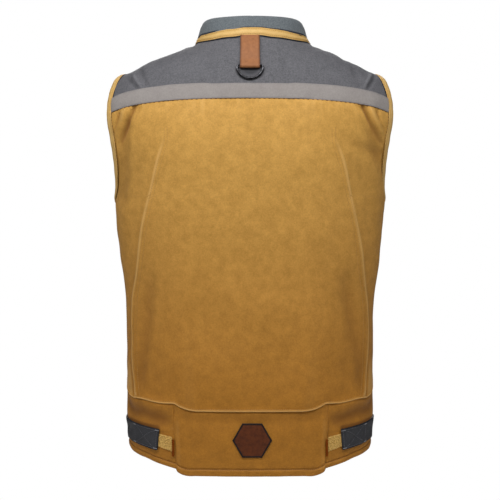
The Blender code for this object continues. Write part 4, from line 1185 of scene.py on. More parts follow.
def build_hem_sides(context):
    seed = context.scene.vest_sizes.seed
    for side, word in SIDES:
        share = side * np.linspace(TAIL_EDGES[side] + TAIL_GAP, 1 - SEAM_TRIM, 90)[None, :]
        outward = np.abs(share)
        low = hem_edge(share) + 0.0013 * hump(outward - 0.60, 0.06)
        points = torso_back(share, mix(low, pouch_seam(share) - HALF_GAP,
                                       closer(84)[:, None]))
        z = points[..., 2]
        u, v = arc_runs(points)
        relief, shade = hem_relief(u, v, seed + 41 + side, 0.0004, SIDE_HEM)
        top = below_top(v)
        # The cloth hollows between the seam and the tab, less towards the tail and the side, with
        # a painted highlight on the crest above the tab
        sunk = mix(0.0275, 0.0225, ease(0.44, 0.66, outward))
        hollow = hump(top - sunk, 0.0125) * ease(0.37, 0.47, outward) * ease(1.02, 0.84, outward)
        relief -= 0.0036 * hollow + 0.0008 * ease(0.006, 0.0, top) + cinch(share, z)
        shade += 0.25 * hump(top - 0.042, 0.006) * ease(1.0, 0.8, outward)
        # Painted shadow along the top edges of the tab and the patch
        on_tab = ease(TAB_END_SHARE - 0.01, TAB_END_SHARE + 0.02, outward)
        over_tab = z - tab_middle(share) - TAB_WIDTH / 2
        shade -= 1.6 * hump(over_tab - 0.0005, 0.0034) * on_tab
        shade -= 0.4 * hump(z - PATCH_TOP[1] - 0.0040, 0.0022) * (1 - on_tab)
        # Painted shade under the pouch seam and in the hollow
        shade -= 0.9 * ease(0.0034, 0.0006, top) + 0.80 * hollow
        lay_cloth("canvas_hem_" + word, raised(points, relief), CANVAS, "canvas", "canvas",
                  "hem_side_" + word, shade, rests_on=["canvas_back"], lined=True)


# The fronts

FRONT_FOLDS = mirrored(
    Fold((0.1600, -0.1500), (0.1860, -0.2300), 0.0100, -0.0034, -0.0020),
    Fold((0.1750, -0.1400), (0.1960, -0.2000), 0.0050, 0.0018, 0.0010),
    Fold((0.0900, -0.1700), (0.1300, -0.2900), 0.0250, 0.0024, 0.0018),
    Fold((0.1200, -0.4000), (0.1380, -0.5600), 0.0200, -0.0034, -0.0030),
    Fold((0.0450, -0.2600), (0.0400, -0.6000), 0.0200, 0.0018, 0.0022),
    Fold((0.1900, -0.2700), (0.1650, -0.3600), 0.0070, -0.0018, -0.0008),
)
ZIP_GROOVE = 0.0110


def build_fronts(context):
    sizes = context.scene.vest_sizes
    run = closer(180, 0.7) * (1 - FRONT_TOP_TRIM)
    start = share_at_x(front_sheet, ZIP_SLOT_HALF, run)[:, None]
    for side, word in SIDES:
        share = mix(start, 1 - SEAM_TRIM, np.linspace(0, 1, 101)[None, :])
        points = as_worn(front_sheet(side * share, run[:, None]))
        x, z = points[..., 0], points[..., 2]
        u, v = arc_runs(points)
        from_zip = u - u[:, :1]
        to_side = from_zip.max(axis=1, keepdims=True) - from_zip
        seed = sizes.seed + 51 + side
        relief, shade = hem_relief(from_zip, v, seed, 0.0006)
        folds, fold_shade = creases(FRONT_FOLDS, x + 0.0030 * uneven(z, 0, 0.2, seed + 5), z)
        relief += folds + 0.0009 * uneven(from_zip, z, 0.12, seed + 3)
        relief -= 0.0010 * hump(from_zip - ZIP_GROOVE, 0.0016) + 0.0006 * hump(from_zip, 0.0015)
        relief -= 0.0012 * hump(to_side, 0.004) * ease(-0.2480, -0.2700, z) + drawn_in(to_side, z)
        relief -= cinch(2 - share, z)
        relief *= ease(0.0, 0.012, below_top(v))
        # Painted shade and highlight on the folds, and painted shade in the zip's groove
        shade += fold_shade - 0.6 * hump(from_zip - ZIP_GROOVE, 0.0012)
        lay_cloth("canvas_front_" + word, raised(points, relief * sizes.fold_gain), CANVAS,
                  "canvas", "canvas", "front_" + word, shade, rests_on=["yoke"], lined=True)


# Collar, neck tape and armhole bindings

# Where the collar begins and ends, as shares of its height
COLLAR_LOW = 0.008
COLLAR_HIGH = 0.985


def collar_grid(low, high, rows):
    """Points round the collar that leave the zip's slot open, and their rises."""
    rise = mix(low, high, closer(rows, 0.3))[:, None]
    slot = math.pi - np.arcsin(ZIP_SLOT_HALF / mix(NECK_HALF_WIDTH, COLLAR_TOP_HALF_WIDTH, rise))
    angle = np.linspace(-1, 1, 241)[None, :] * slot
    return as_worn(collar_sheet(angle, rise)), rise


def build_collar(context):
    seed = context.scene.vest_sizes.seed
    points, rise = collar_grid(COLLAR_LOW, COLLAR_HIGH, 28)
    u, v = arc_runs(points)
    # The pile rolls over at the top edge and dips at the middle seam
    relief = 0.0008 * np.sin(math.pi * rise) + 0.0005 * uneven(u, v, 0.05, seed + 61)
    relief -= 0.0009 * hump(u, 0.0014) + 0.0012 * ease(0.80, 1.0, rise)
    lay_cloth("knit_collar", raised(points, relief), COLLAR_CLOTH, "collar", "collar_cloth",
              "collar", rests_on=["yoke"], rim=0.0011, rim_rings=3)


# How far the dark backing shows past the neck tape, as shares of the collar's height
NECK_BACKING = (-0.034, NECK_TAPE_SHARE + 0.042)
# The backing's thickness, and how far its face stands out from the neck
BACKING = 0.0006
NECK_BACKING_OUT = 0.0010


def build_neck_tape(context):
    seed = context.scene.vest_sizes.seed
    backing, _ = collar_grid(*NECK_BACKING, 6)
    backing = cloth_wall("neck_facing", raised(backing, NECK_BACKING_OUT), BACKING,
                         finishes()["backing"])
    settle(backing, "binding_tape")
    points, _ = collar_grid(COLLAR_LOW, NECK_TAPE_SHARE, 21)
    narrow = 0.0016 * ease(0.030, 0.080, np.abs(points[..., 0])) * np.linspace(0, 1, 21)[:, None]
    points = points - narrow[..., None] * (0.0, 0.0, 1.0)
    u, v = arc_runs(points)
    middle = v / v.max(axis=0, keepdims=True) * 2 - 1
    relief = 0.0015 + 0.0005 * (1 - middle ** 2) + 0.0002 * uneven(u, v, 0.014, seed + 71)
    relief -= 0.0004 * hump(np.abs(middle) - 0.72, 0.12)
    # Painted highlight along the tape's middle and painted shade in its grooves
    shade = 0.3 * hump(middle, 0.4) - 0.55 * hump(np.abs(middle) - 0.72, 0.07)
    lay_cloth("neck_tape_cloth", raised(points, relief), TAPE, "tape", "binding_tape",
              "neck_tape", shade, held="stretched", rests_on=["knit_collar"],
              with_pieces=[backing], rim=0.0004)


ArmholePath = namedtuple("ArmholePath", "point normal into end end_normal dark")


def smoothed(rows, times, weight, ways=False):
    """Rows of a closed loop, each evened out with its neighbours; ways keep a length of 1."""
    for _ in range(times):
        rows = rows + weight * (np.roll(rows, 1, axis=0) + np.roll(rows, -1, axis=0))
        rows = unit(rows) if ways else rows / (1 + 2 * weight)
    return rows


def armhole_path():
    """Once round the right armhole: points, normals, ways in, the tape's inner end and how
    wide its dark backing shows, which is widest on the yoke."""
    parts = ((torso_back, np.linspace(UNDERARM, yoke_seam(1.0), 62)[:-1], 1.0, 0.0),
             (yoke_sheet, np.linspace(0.0, 1.0, 44)[:-1], 1.0, 1.0),
             (front_sheet, np.linspace(1.0, front_rise(UNDERARM), 72)[:-1], -1.0, 0.0))
    point, along, up, normal, dark = [], [], [], [], []
    for sheet, rows, facing, darkness in parts:
        place = sheet(np.ones_like(rows), rows)
        along.append((place - sheet(1 - STEP, rows)) / STEP)
        up.append((place - sheet(1.0, rows - STEP)) / STEP)
        point.append(place)
        normal.append(unit(np.cross(along[-1], up[-1])) * facing)
        dark.append(ease(0.20, 0.32, rows)[:, None] * darkness)
    point, along, up, normal = (np.concatenate(rows) for rows in (point, along, up, normal))
    run = smoothed(unit(np.roll(point, -1, axis=0) - np.roll(point, 1, axis=0)), 3, 0.5, ways=True)
    into = unit(np.cross(normal, run))
    share = dot(into, np.cross(up, normal)) / dot(along, np.cross(up, normal))
    row = dot(into, np.cross(along, normal)) / dot(up, np.cross(along, normal))
    end = []
    start = 0
    for sheet, rows, _, _ in parts:
        part = slice(start, start + len(rows))
        start += len(rows)
        end.append(sheet(1 + share[part, 0] * BINDING_WIDTH,
                         np.clip(rows + row[part, 0] * BINDING_WIDTH, -0.7, 1.0)))
    return ArmholePath(point, normal, into, smoothed(np.concatenate(end), 2, 0.5),
                       smoothed(normal, 4, 1.0, ways=True), smoothed(np.concatenate(dark), 3, 0.5))


def binding_profile(outer, inner, thickness):
    """The folded tape's section: how far in, how far out from the cloth's face, and shade."""
    spots = []
    for share in np.linspace(1.0, 0.12, 9):
        puff = 0.0005 * math.sin(math.pi * share ** 0.8)
        groove = float(hump(share - 0.74, 0.07))
        sunk = 0.0004 * groove + 0.0006 * float(ease(0.80, 1.0, share))
        spots.append((share, outer + thickness + puff - sunk,
                      0.35 * float(hump(share - 0.42, 0.22)) - 0.6 * groove))
    middle = (outer - inner) / 2
    half = (outer + inner) / 2 + thickness
    for angle in np.radians(np.linspace(70, -70, 7)):
        spots.append((-0.30 - 0.20 * math.cos(angle), middle + half * math.sin(angle), 0.1))
    for share in np.linspace(0.12, 1.0, 5):
        spots.append((share, -inner - thickness, 0.0))
    for share in np.linspace(1.0, 0.0, 5):
        spots.append((share, -inner, 0.0))
    for share in np.linspace(0.0, 1.0, 5):
        spots.append((share, outer, 0.0))
    return spots


# How far the tape and its dark facing reach in from the armhole's edge, in widths of the
# solid binding, and how much further they reach on the yoke
TAPE_REACH = 1.30
TAPE_REACH_ON_YOKE = 0.06
FACING_REACH = 1.20
FACING_REACH_ON_YOKE = 0.38
# The facing's flat section, given in the way of the tape's
FACING_PROFILE = ((1.0, 0.0006, 0), (0.8, 0.0008, 0), (0.8, 0.0003, 0), (1.0, 0.0001, 0))


def build_bindings(context):
    path = armhole_path()
    seed = context.scene.vest_sizes.seed
    turn = np.linspace(0, 2 * math.pi, len(path.point), endpoint=False)[:, None]
    wobble = 0.0002 * (np.sin(turn * 9 + seed) + np.sin(turn * 17 + 2.0) * 0.7)
    tape_profile = binding_profile(BINDING_GAP * 0.6, CANVAS + BINDING_INNER_GAP, TAPE * 0.9)
    strips = (("armhole_facing_", "backing", FACING_REACH + FACING_REACH_ON_YOKE * path.dark,
               FACING_PROFILE),
              ("armhole_tape_", "tape", TAPE_REACH + TAPE_REACH_ON_YOKE * path.dark,
               tape_profile))
    for side, word in SIDES:
        made = []
        for name, look, width, profile in strips:
            rings = []
            for share, out, _ in profile:
                base = mix(path.point, path.end, max(share, 0.0) * width)
                base = base + path.into * min(share, 0.0) * BINDING_WIDTH * 0.6
                lean = unit(mix(path.normal, path.end_normal, max(share, 0.0)))
                rings.append(base + lean * (out + wobble * (out > 0.001)))
            rings = as_worn(np.stack(rings, axis=1) * (side, 1.0, 1.0))
            shade = np.tile([spot[2] for spot in profile], (len(rings), 1))
            made.append(sweep(name + word, rings, finishes()[look], True, shade))
        facing, tape = made
        settle(tape, "binding_tape", "armhole_binding_" + word)
        settle(facing, "binding_tape")


# Tabs, patches, badge

# How far the patch starts from the tail and ends under its tab, as shares of the panel
PATCH_FROM_TAIL = 0.020
PATCH_UNDER_TAB = 0.008


def tab_middle(turn):
    inward = np.maximum(1 - np.abs(turn), 0.0) / (1 - TAB_END_SHARE)
    return TAB_HEIGHT - TAB_FALL * inward ** TAB_FALL_POWER


def tab_end(up):
    """The share of a tab's cut end, which leans out towards its lower corner."""
    return TAB_END_SHARE + TAB_END_SLANT * (0.5 - up)


def build_tabs(context):
    seed = context.scene.vest_sizes.seed
    for side, word in SIDES:
        up = mix(-0.5, 0.5, closer(31))[:, None]
        turn = side * mix(tab_end(up), TAB_FAR_SHARE, np.linspace(0, 1, 150)[None, :])
        drop = (0.0010 + 0.0022 * (0.5 - up)) * ease(0.90, TAB_END_SHARE, np.abs(turn))
        points = side_ring(turn, tab_middle(turn) + up * TAB_WIDTH - drop)
        u, v = arc_runs(points)
        from_end = np.abs(u - u[:, :1])
        lift = GAP + WEBBING + 0.0012 * ease(0.034, 0.006, from_end)
        lift = lift + 0.0004 * uneven(u, v, 0.03, seed + 81 + side) - cinch(turn, points[..., 2])
        edge = (0.5 - np.abs(up)) * TAB_WIDTH
        shade = -0.9 * ease(0.0024, 0.0010, edge) - 0.9 * ease(0.0022, 0.0006, from_end)
        lay_cloth("webbing_tab_" + word, raised(points, lift), WEBBING, "webbing", "webbing",
                  "side_tab_" + word, shade, held="stretched", rests_on=["canvas_hem_" + word],
                  rim=0.0006)

        along = np.linspace(0, 1, 60)[None, :]
        height = mix(mix(*PATCH_BOTTOM, along), mix(*PATCH_TOP, along),
                     np.linspace(0, 1, 48)[:, None])
        end = tab_end((height - tab_middle(TAB_END_SHARE)) / TAB_WIDTH)
        share = side * mix(TAIL_SHARE + PATCH_FROM_TAIL, end + PATCH_UNDER_TAB, along)
        points = torso_back(share, height)
        u, v = arc_runs(points)
        fuzz = 0.0004 * uneven(u, v, 0.0028, seed + 91, 14)
        lay_cloth("loop_pile_" + word, raised(points, GAP + PATCH_CLOTH * 0.8 + fuzz), PATCH_CLOTH,
                  "pile", "loop_pile", "loop_patch_" + word, held="stretched",
                  rests_on=["canvas_hem_" + word], rim=0.0005)


# The leather is cut a little larger and set a little higher than its solid
BADGE_SIZE = BADGE_RADIUS + 0.0007
BADGE_MIDDLE = BADGE_HEIGHT + 0.0003


def build_badge(context):
    angles = np.radians(np.arange(0, 361, 60))
    corners = np.stack((np.cos(angles), np.sin(angles)), axis=-1)
    edge = mix(corners[:-1, None], corners[1:, None],
               np.linspace(0, 1, 20, endpoint=False)[:, None])
    share = np.linspace(0, 1, 26)[1:, None]
    x, z = (BADGE_SIZE * share * edge.reshape(-1, 2)[:, k] for k in (0, 1))
    x, z = BADGE_X + x, BADGE_MIDDLE + z
    base, normal = back_with_normal(x, z)
    # A burnished border, a pressed line inside it and a blank middle
    inset = (1 - share) * BADGE_SIZE * math.cos(math.radians(30)) + x * 0
    relief = (GAP + LEATHER - 0.0006 * ease(0.0012, 0.0, inset)
              - 0.0005 * hump(inset - 0.0032, 0.0007))
    rings = np.concatenate((raised_by(base, normal, relief), raised_by(base, normal, GAP)[::-1]))
    number = np.arange(rings[..., 0].size).reshape(rings.shape[:2])
    after = np.roll(number, -1, axis=1)
    faces = skin_faces(number, after)
    centre = back_at(BADGE_X, BADGE_MIDDLE)
    vertices = np.concatenate((rings.reshape(-1, 3), centre + normal[0, :1] * (GAP + LEATHER),
                               centre + normal[0, :1] * GAP))
    top = len(vertices) - 2
    caps = [(top, int(a), int(b)) for a, b in zip(after[0], number[0])]
    caps += [(top + 1, int(a), int(b)) for a, b in zip(number[-1], after[-1])]
    border = ease(0.0028, 0.0020, inset)
    shade = np.concatenate((border.ravel(), np.ones(border.size), (0.0, 1.0)))
    thing = mesh_object("leather_badge", vertices, faces.tolist() + caps, finishes()["badge"],
                        crease=shade, sharp=45)
    settle(thing, "badge_leather", "badge")


# Hang loop and ring

def yoke_line(distance):
    """The middle of the yoke at these distances below the neck seam, and its normals."""
    rise = np.linspace(YOKE_LOFT, 1.0, 900)
    line = yoke_sheet(0.0, rise)
    away = np.linalg.norm(line[-1] - line, axis=-1)
    rise = np.interp(distance, away[::-1], rise[::-1])
    along = yoke_sheet(STEP, rise) - yoke_sheet(-STEP, rise)
    up = yoke_sheet(0.0, rise + STEP) - yoke_sheet(0.0, rise - STEP)
    return yoke_sheet(0.0, rise), unit(np.cross(along, up))


def eye_frame():
    """The middle of the fold that holds the ring, the ways out and up, and its radius."""
    point, normal = yoke_line(LOOP_EYE_DOWN)
    radius = RING_WIRE + RING_CLEARANCE + LEATHER
    upward = unit(np.cross(normal, (1.0, 0.0, 0.0)))
    return point + normal * (GAP + radius), normal, upward, radius


def strap_section(half_width, thickness, corner):
    """A flat strap's section: across and out, with rounded edges and points along its flats."""
    half = thickness / 2
    spots = []
    for way in (1, -1):
        for x in np.linspace(-1, 1, 11)[1:-1]:
            spots.append((x * way * (half_width - corner), half * -way))
        for angle in np.radians(np.linspace(-90, 90, 8)):
            spots.append((way * (half_width - corner + corner * math.cos(angle)),
                          way * (half - corner) * np.sign(math.sin(angle))
                          + way * corner * math.sin(angle)))
    return np.array(spots)


# How far the fold hangs down, and the rounding of the strap's cut edges
LOOP_SAG = 0.0016
LOOP_CUT_ROUND = 0.0006


def build_hang_loop(context):
    centre, normal, upward, radius = eye_frame()
    down = np.linspace(LOOP_START, LOOP_EYE_DOWN - LOOP_EYE_TAPER, 26)
    point, out = yoke_line(down)
    turn = np.radians(np.linspace(75, -90, 22))[:, None]
    eye_out = normal * np.sin(turn) - upward * np.cos(turn)
    sag = upward * (LOOP_SAG * np.cos(turn))
    path = np.concatenate((point + out * (GAP + 1.5 * LEATHER + LOOP_FOLD_GAP),
                           centre + eye_out * (radius - LEATHER / 2) - sag,
                           point[::-1] + out[::-1] * (GAP + LEATHER / 2)))
    ways = np.concatenate((out, eye_out, -out[::-1]))
    for _ in range(2):
        path[1:-1] = 0.5 * path[1:-1] + 0.25 * (path[2:] + path[:-2])
    run = unit(np.gradient(path, axis=0))
    ways = unit(ways - run * dot(ways, run))
    section_spots = strap_section(LOOP_HALF_WIDTH, LEATHER, LOOP_CUT_ROUND)
    # The strap is a touch wider where it folds round the ring
    wide = 1 + 0.05 * hump(np.arange(len(path)) - len(down) - 11, 16)[:, None, None]
    rings = (path[:, None] + section_spots[None, :, :1] * wide * (1.0, 0.0, 0.0)
             + ways[:, None] * section_spots[None, :, 1:])
    edge = ease(LOOP_HALF_WIDTH - 0.0014, LOOP_HALF_WIDTH - 0.0002, np.abs(section_spots[:, 0]))
    thing = sweep("leather_loop", rings, finishes()["loop"], False,
                  np.broadcast_to(edge, rings.shape[:2]))
    settle(thing, "loop_leather", "hang_loop")


RING_SWELL = 0.0006


def build_ring(context):
    centre = eye_frame()[0]
    foot, out = yoke_line(LOOP_EYE_DOWN + RING_DEPTH)
    down = unit(foot + out * (RING_REST + RING_WIRE) - centre)
    inner = RING_HALF_WIDTH - RING_CORNER
    turn = np.linspace(math.pi / 2, 0, 8)
    corner = np.stack((inner + RING_CORNER * np.cos(turn), RING_CORNER * (1 - np.sin(turn))),
                      axis=-1)
    turn = np.linspace(0, math.pi, 60)[1:-1]
    bow = np.stack((RING_HALF_WIDTH * np.cos(turn),
                    RING_CORNER + (RING_DEPTH - RING_CORNER) * np.sin(turn)), axis=-1)
    bar = np.stack((np.linspace(-inner, inner, 14)[1:-1], np.zeros(12)), axis=-1)
    spots = np.concatenate((corner, bow, corner[::-1] * (-1, 1), bar))
    run = unit(np.roll(spots, -1, axis=0) - np.roll(spots, 1, axis=0))
    beside = np.stack((run[:, 1], -run[:, 0]), axis=-1)
    across = np.array((1.0, 0.0, 0.0))
    face = np.cross(across, down)
    # The wire is thinner where the leather holds it
    wire = RING_WIRE + RING_SWELL * ease(0.5 * RING_CORNER, 2 * RING_CORNER, spots[:, 1:])
    rings = []
    for angle in np.linspace(0, 2 * math.pi, 16, endpoint=False):
        place = spots + beside * wire * math.cos(angle)
        rings.append(centre + place[:, :1] * across + place[:, 1:] * down
                     + face * wire * math.sin(angle))
    thing = sweep("steel_ring", np.stack(rings, axis=1), finishes()["metal"], True)
    settle(thing, "dark_metal", "d_ring", body="ring")


# Zip

# Where the zip's tapes and teeth run below and above the neck seam, and at how many places
ZIP_TAPE_RUNS = ((0.004, 0.985, 150), (1.04, ZIP_TOP_RUN, 14))
TOOTH_RUNS = ((0.010, 0.992, 320), (1.02, 1.93, 26))


def build_zip_tapes(context):
    run = np.concatenate([np.linspace(*part) for part in ZIP_TAPE_RUNS])
    for side, word in SIDES:
        x = side * np.linspace(HALF_GAP, ZIP_TAPE_HALF, 9)[None, :]
        points = raised(zip_sheet(x, run[:, None]), -COLLAR_CLOTH - ZIP_TAPE_GAP)
        lay_cloth("zip_tape_cloth_" + word, points, TAPE, "zip_cloth", "zip_cloth",
                  "zip_tape_" + word, held="stretched", rests_on=["canvas_front_" + word])


def dress_metal(context):
    """Gives the solids of the slider and the pull their metal."""
    for node in ("zip_slider", "zip_pull"):
        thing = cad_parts[node]
        thing.data.materials.clear()
        thing.data.materials.append(finishes()["metal"])


# Sewing

def laid_tree(name, kind, smooth, **shape):
    """A node group that lays one small shape at an even pitch along lines, which carry the
    cloth's outward way."""
    if name in bpy.data.node_groups:
        return bpy.data.node_groups[name]
    tree = bpy.data.node_groups.new(name, "GeometryNodeTree")
    sockets = {"Geometry": "Geometry", "Pitch": "Float", "Size": "Vector", "Turn": "Float",
               "Finish": "Material"}
    for title, sort in sockets.items():
        tree.interface.new_socket(title, in_out="INPUT", socket_type="NodeSocket" + sort)
    tree.interface.new_socket("Geometry", in_out="OUTPUT", socket_type="NodeSocketGeometry")
    given = tree.nodes.new("NodeGroupInput").outputs
    line = add(tree, "GeometryNodeMeshToCurve", {"Mesh": given["Geometry"]})
    line = add(tree, "GeometryNodeResampleCurve", {"Curve": line, "Length": given["Pitch"]},
               mode="LENGTH")
    out = add(tree, "GeometryNodeInputNamedAttribute", {"Name": "out"}, data_type="FLOAT_VECTOR")
    tangent = add(tree, "GeometryNodeInputTangent")
    turned = add(tree, "FunctionNodeAlignRotationToVector", {"Vector": out}, axis="Z")
    turned = add(tree, "FunctionNodeAlignRotationToVector", {"Rotation": turned, "Vector": tangent},
                 axis="X", pivot_axis="Z")
    spin = add(tree, "FunctionNodeAxisAngleToRotation", {"Axis": (0.0, 0.0, 1.0),
                                                         "Angle": given["Turn"]})
    turned = add(tree, "FunctionNodeRotateRotation", {"Rotation": turned, "Rotate By": spin},
                 rotation_space="LOCAL")
    bead = add(tree, kind, shape)
    bead = add(tree, "GeometryNodeSetShadeSmooth", {"Geometry": bead, "Shade Smooth": smooth})
    placed = add(tree, "GeometryNodeInstanceOnPoints",
                 {"Points": line, "Instance": bead, "Rotation": turned, "Scale": given["Size"]})
    real = add(tree, "GeometryNodeRealizeInstances", {"Geometry": placed})
    painted = add(tree, "GeometryNodeSetMaterial", {"Geometry": real, "Material": given["Finish"]})
    add(tree, "NodeGroupOutput", {0: painted}, output=None)
    return tree


def sew(name, lines, look, slot, size, pitch, turn=0.0, tree=None):
    """Lays stitches, or another tree's shape, along lines of points and outward ways, as a
    plain mesh."""
    tree = tree or laid_tree("stitches", "GeometryNodeMeshUVSphere", True, Segments=6, Rings=4,
                             Radius=0.5)
    points = np.concatenate([line for line, _ in lines])
    ways = np.concatenate([way for _, way in lines])
    ends = np.cumsum([len(line) for line, _ in lines]) - 1
    edges = [(spot, spot + 1) for spot in range(len(points) - 1) if spot not in ends]
    mesh = bpy.data.meshes.new(name)
    mesh.from_pydata(points.tolist(), edges, [])
    field = mesh.attributes.new("out", "FLOAT_VECTOR", "POINT")
    field.data.foreach_set("vector", ways.astype(np.float32).ravel())
    thing = linked(name, mesh)
    modifier = thing.modifiers.new("sewing", "NODES")
    modifier.node_group = tree
    values = {"Pitch": pitch, "Size": size, "Turn": turn, "Finish": finishes()[look]}
    for item in tree.interface.items_tree:
        if item.in_out == "INPUT" and item.name in values:
            modifier[item.identifier] = values[item.name]
    graph = bpy.context.evaluated_depsgraph_get()
    made = bpy.data.meshes.new_from_object(thing.evaluated_get(graph))
    thing.modifiers.clear()
    thing.data = made
    bpy.data.meshes.remove(mesh)
    made.name = name
    return settle(thing, slot)


def on_cloth(cloth, row, column, lift=0.0001):
    """Points and outward ways of a cloth at fractional rows and columns."""
    low_row = np.clip(row.astype(int), 0, cloth.u.shape[0] - 2)
    low_column = np.clip(column.astype(int), 0, cloth.u.shape[1] - 2)
    up = (row - low_row)[:, None]
    along = (column - low_column)[:, None]
    low = mix(cloth.points[low_row, low_column], cloth.points[low_row, low_column + 1], along)
    high = mix(cloth.points[low_row + 1, low_column],
               cloth.points[low_row + 1, low_column + 1], along)
    ways = cloth.normals[low_row, low_column]
    return mix(low, high, up) + ways * lift, ways


def across_cloth(name, inset, top=False, lift=0.0001):
    """Sewing from side to side of a cloth, at a distance from its low or top edge."""
    cloth = CLOTHS[name]
    rows, columns = cloth.u.shape
    column = np.arange(columns * 0.01, columns * 0.99)
    row = [np.interp(run[-1] - inset if top else inset, run, np.arange(rows))
           for run in cloth.v.T[column.astype(int)]]
    return on_cloth(cloth, np.array(row), column.astype(int), lift)


def up_cloth(name, inset, last=False, start=0.01, end=0.99):
    """Sewing up a cloth, at a distance from its first or last column."""
    cloth = CLOTHS[name]
    rows, columns = cloth.u.shape
    row = np.arange(int(rows * start), int(rows * end))
    column = [np.interp(run[-1] - inset if last else run[0] + inset, run, np.arange(columns))
              for run in cloth.u[row]]
    return on_cloth(cloth, row, np.array(column))


def pouch_sewing(side, inset):
    """Sewing up the back, inside the pouch's rolled edge."""
    cloth = CLOTHS["canvas_back"]
    lines = cloth.points[2:int(len(cloth.points) * 0.80)]
    column = [np.interp(0, line[:, 0] - side * (np.interp(line[:, 2], *POUCH_LINE) - inset),
                        np.arange(len(line))) for line in lines]
    return on_cloth(cloth, np.arange(2, 2 + len(lines)), np.array(column))


# How far rows of stitches lie in from the edges of their cloth
BACK_LOW_ROW = 0.0042
BACK_TOP_ROW = 0.0038
BACK_SIDE_ROW = 0.0060
POUCH_ROWS = (0.0030, 0.0085)
ZIP_ROWS = (ZIP_GROOVE, ZIP_GROOVE + 0.0060)
NECK_TAPE_ROW = 0.0022
BAND_ROW = 0.0018
YOKE_TOP_ROW = 0.0060
# How far along the tape's width the armhole's stitches lie, and how far out from the cloth
ARMHOLE_ROW = 1.44
ARMHOLE_ROW_OUT = 0.0008
FINE_THREAD = 0.0005
# The long stitches of the yoke's seam, by length, width and height, and their pitch
SEAM_STITCH = (0.0040, 0.0011, 0.0009)
SEAM_PITCH = 0.0076


def build_sewing(context):
    sizes = context.scene.vest_sizes
    stitch = (sizes.stitch, sizes.thread, sizes.thread)
    seams = [across_cloth("canvas_tail", HEM), across_cloth("canvas_back", BACK_LOW_ROW)]
    for side, word in SIDES:
        front = "canvas_front_" + word
        seams += [pouch_sewing(side, row) for row in POUCH_ROWS]
        seams += [up_cloth("canvas_back", BACK_SIDE_ROW, last=side > 0, start=0.03, end=0.68),
                  across_cloth("canvas_hem_" + word, SIDE_HEM), across_cloth(front, HEM)]
        seams += [up_cloth(front, row) for row in ZIP_ROWS]
    sew("canvas_sewing", seams, "thread_tan", "canvas", stitch, sizes.stitch * 1.14)

    path = armhole_path()
    edge = mix(path.point, path.end, ARMHOLE_ROW) + path.end_normal * ARMHOLE_ROW_OUT
    seams = [(as_worn(np.concatenate((edge, edge[:1])) * (side, 1.0, 1.0)),
              np.concatenate((path.end_normal, path.end_normal[:1])) * (side, 1.0, 1.0))
             for side, _ in SIDES]
    sew("armhole_sewing", seams, "thread_brown", "binding_tape", stitch, sizes.stitch * 1.6)
    seams = [across_cloth("neck_tape_cloth", NECK_TAPE_ROW, top=top) for top in (False, True)]
    sew("neck_sewing", seams, "thread_brown", "binding_tape",
        (sizes.stitch * 0.8, FINE_THREAD, FINE_THREAD), sizes.stitch * 1.2)
    sew("seam_sewing", [across_cloth("canvas_back", BACK_TOP_ROW, top=True, lift=0.0003)],
        "thread_brown", "canvas", SEAM_STITCH, SEAM_PITCH)

    seams = [across_cloth("reflective_tape", BAND_ROW, top=top) for top in (False, True)]
    seams.append(across_cloth("yoke", YOKE_TOP_ROW, top=True))
    sew("grey_sewing", seams, "thread_grey", "reflective_tape",
        (sizes.stitch, FINE_THREAD, 0.0004), sizes.stitch * 1.14)


# The tab's crossed box of stitches: its ends along the tab, and its rows as shares
TAB_BOX = (0.0035, 0.0540)
TAB_BOX_ROWS = (0.14, 0.86)
# Sewing of the tabs by length, width and height, with its pitch and lift off the webbing
BOX_STITCH = (0.0032, 0.0007, 0.0006)
BOX_PITCH = 0.0035
BOX_LIFT = 0.00012
CORNER_TACK = (0.0022, 0.0018, 0.0009)
CORNER_TACK_PITCH = 0.0010
CORNER_TACK_LIFT = 0.0007
# Short tacks that hold the side seams, by height, with their inset and half length
SIDE_TACKS = (-0.2940, -0.3166, -0.4076, -0.4299)
SIDE_TACK_ROW = 0.0040
SIDE_TACK_HALF = 0.0050
# The upright bar tacks beside the tail: their x, their two ends and how far out they stand
BAR_TACK_X = 0.1222
BAR_TACK_ENDS = (-0.6450, -0.6715)
BAR_TACK_OUT = 0.0024
BAR_TACK = (0.0052, 0.0010, 0.0012)
BAR_TACK_PITCH = 0.0008


def build_tab_sewing(context):
    seams = []
    corners = []
    for _, word in SIDES:
        cloth = CLOTHS["webbing_tab_" + word]
        rows, columns = cloth.u.shape
        run = np.abs(cloth.u - cloth.u[:, :1]).mean(axis=0)
        low, high = np.array(TAB_BOX_ROWS) * (rows - 1)
        near, far = np.interp(TAB_BOX, run, np.arange(columns))
        box = ((low, near), (low, far), (high, far), (high, near))
        for one, other in ((0, 1), (1, 2), (2, 3), (3, 0), (0, 2), (1, 3)):
            row = np.linspace(box[one][0], box[other][0], 40)
            column = np.linspace(box[one][1], box[other][1], 40)
            seams.append(on_cloth(cloth, row, column, BOX_LIFT))
        for row, column in box:
            corners.append(on_cloth(cloth, np.array((row, row)), np.array((column - 2, column + 2)),
                                    CORNER_TACK_LIFT))
    sew("tab_sewing", seams, "thread_dark", "webbing", BOX_STITCH, BOX_PITCH)
    sew("tab_corner_tacks", corners, "thread_grey", "webbing", CORNER_TACK, CORNER_TACK_PITCH)

    seams = []
    for side, _ in SIDES:
        height = np.linspace(*BAR_TACK_ENDS, 40)
        base, ways = back_with_normal(np.full_like(height, side * BAR_TACK_X), height)
        seams.append((base + ways * BAR_TACK_OUT, ways))
    for side, _ in SIDES:
        line, ways = up_cloth("canvas_back", SIDE_TACK_ROW, last=side > 0)
        for height in SIDE_TACKS:
            near = np.abs(line[:, 2] - height) < SIDE_TACK_HALF
            seams.append((line[near], ways[near]))
    sew("bar_tacks", seams, "thread_red", "canvas", BAR_TACK, BAR_TACK_PITCH, turn=math.pi / 2)


# How far a tooth stands beside the middle and above the tape, and its height and depth
TOOTH_BESIDE = 0.0011
TOOTH_OUT = 0.0006
TOOTH_SIZE = (0.0034, 0.0022)


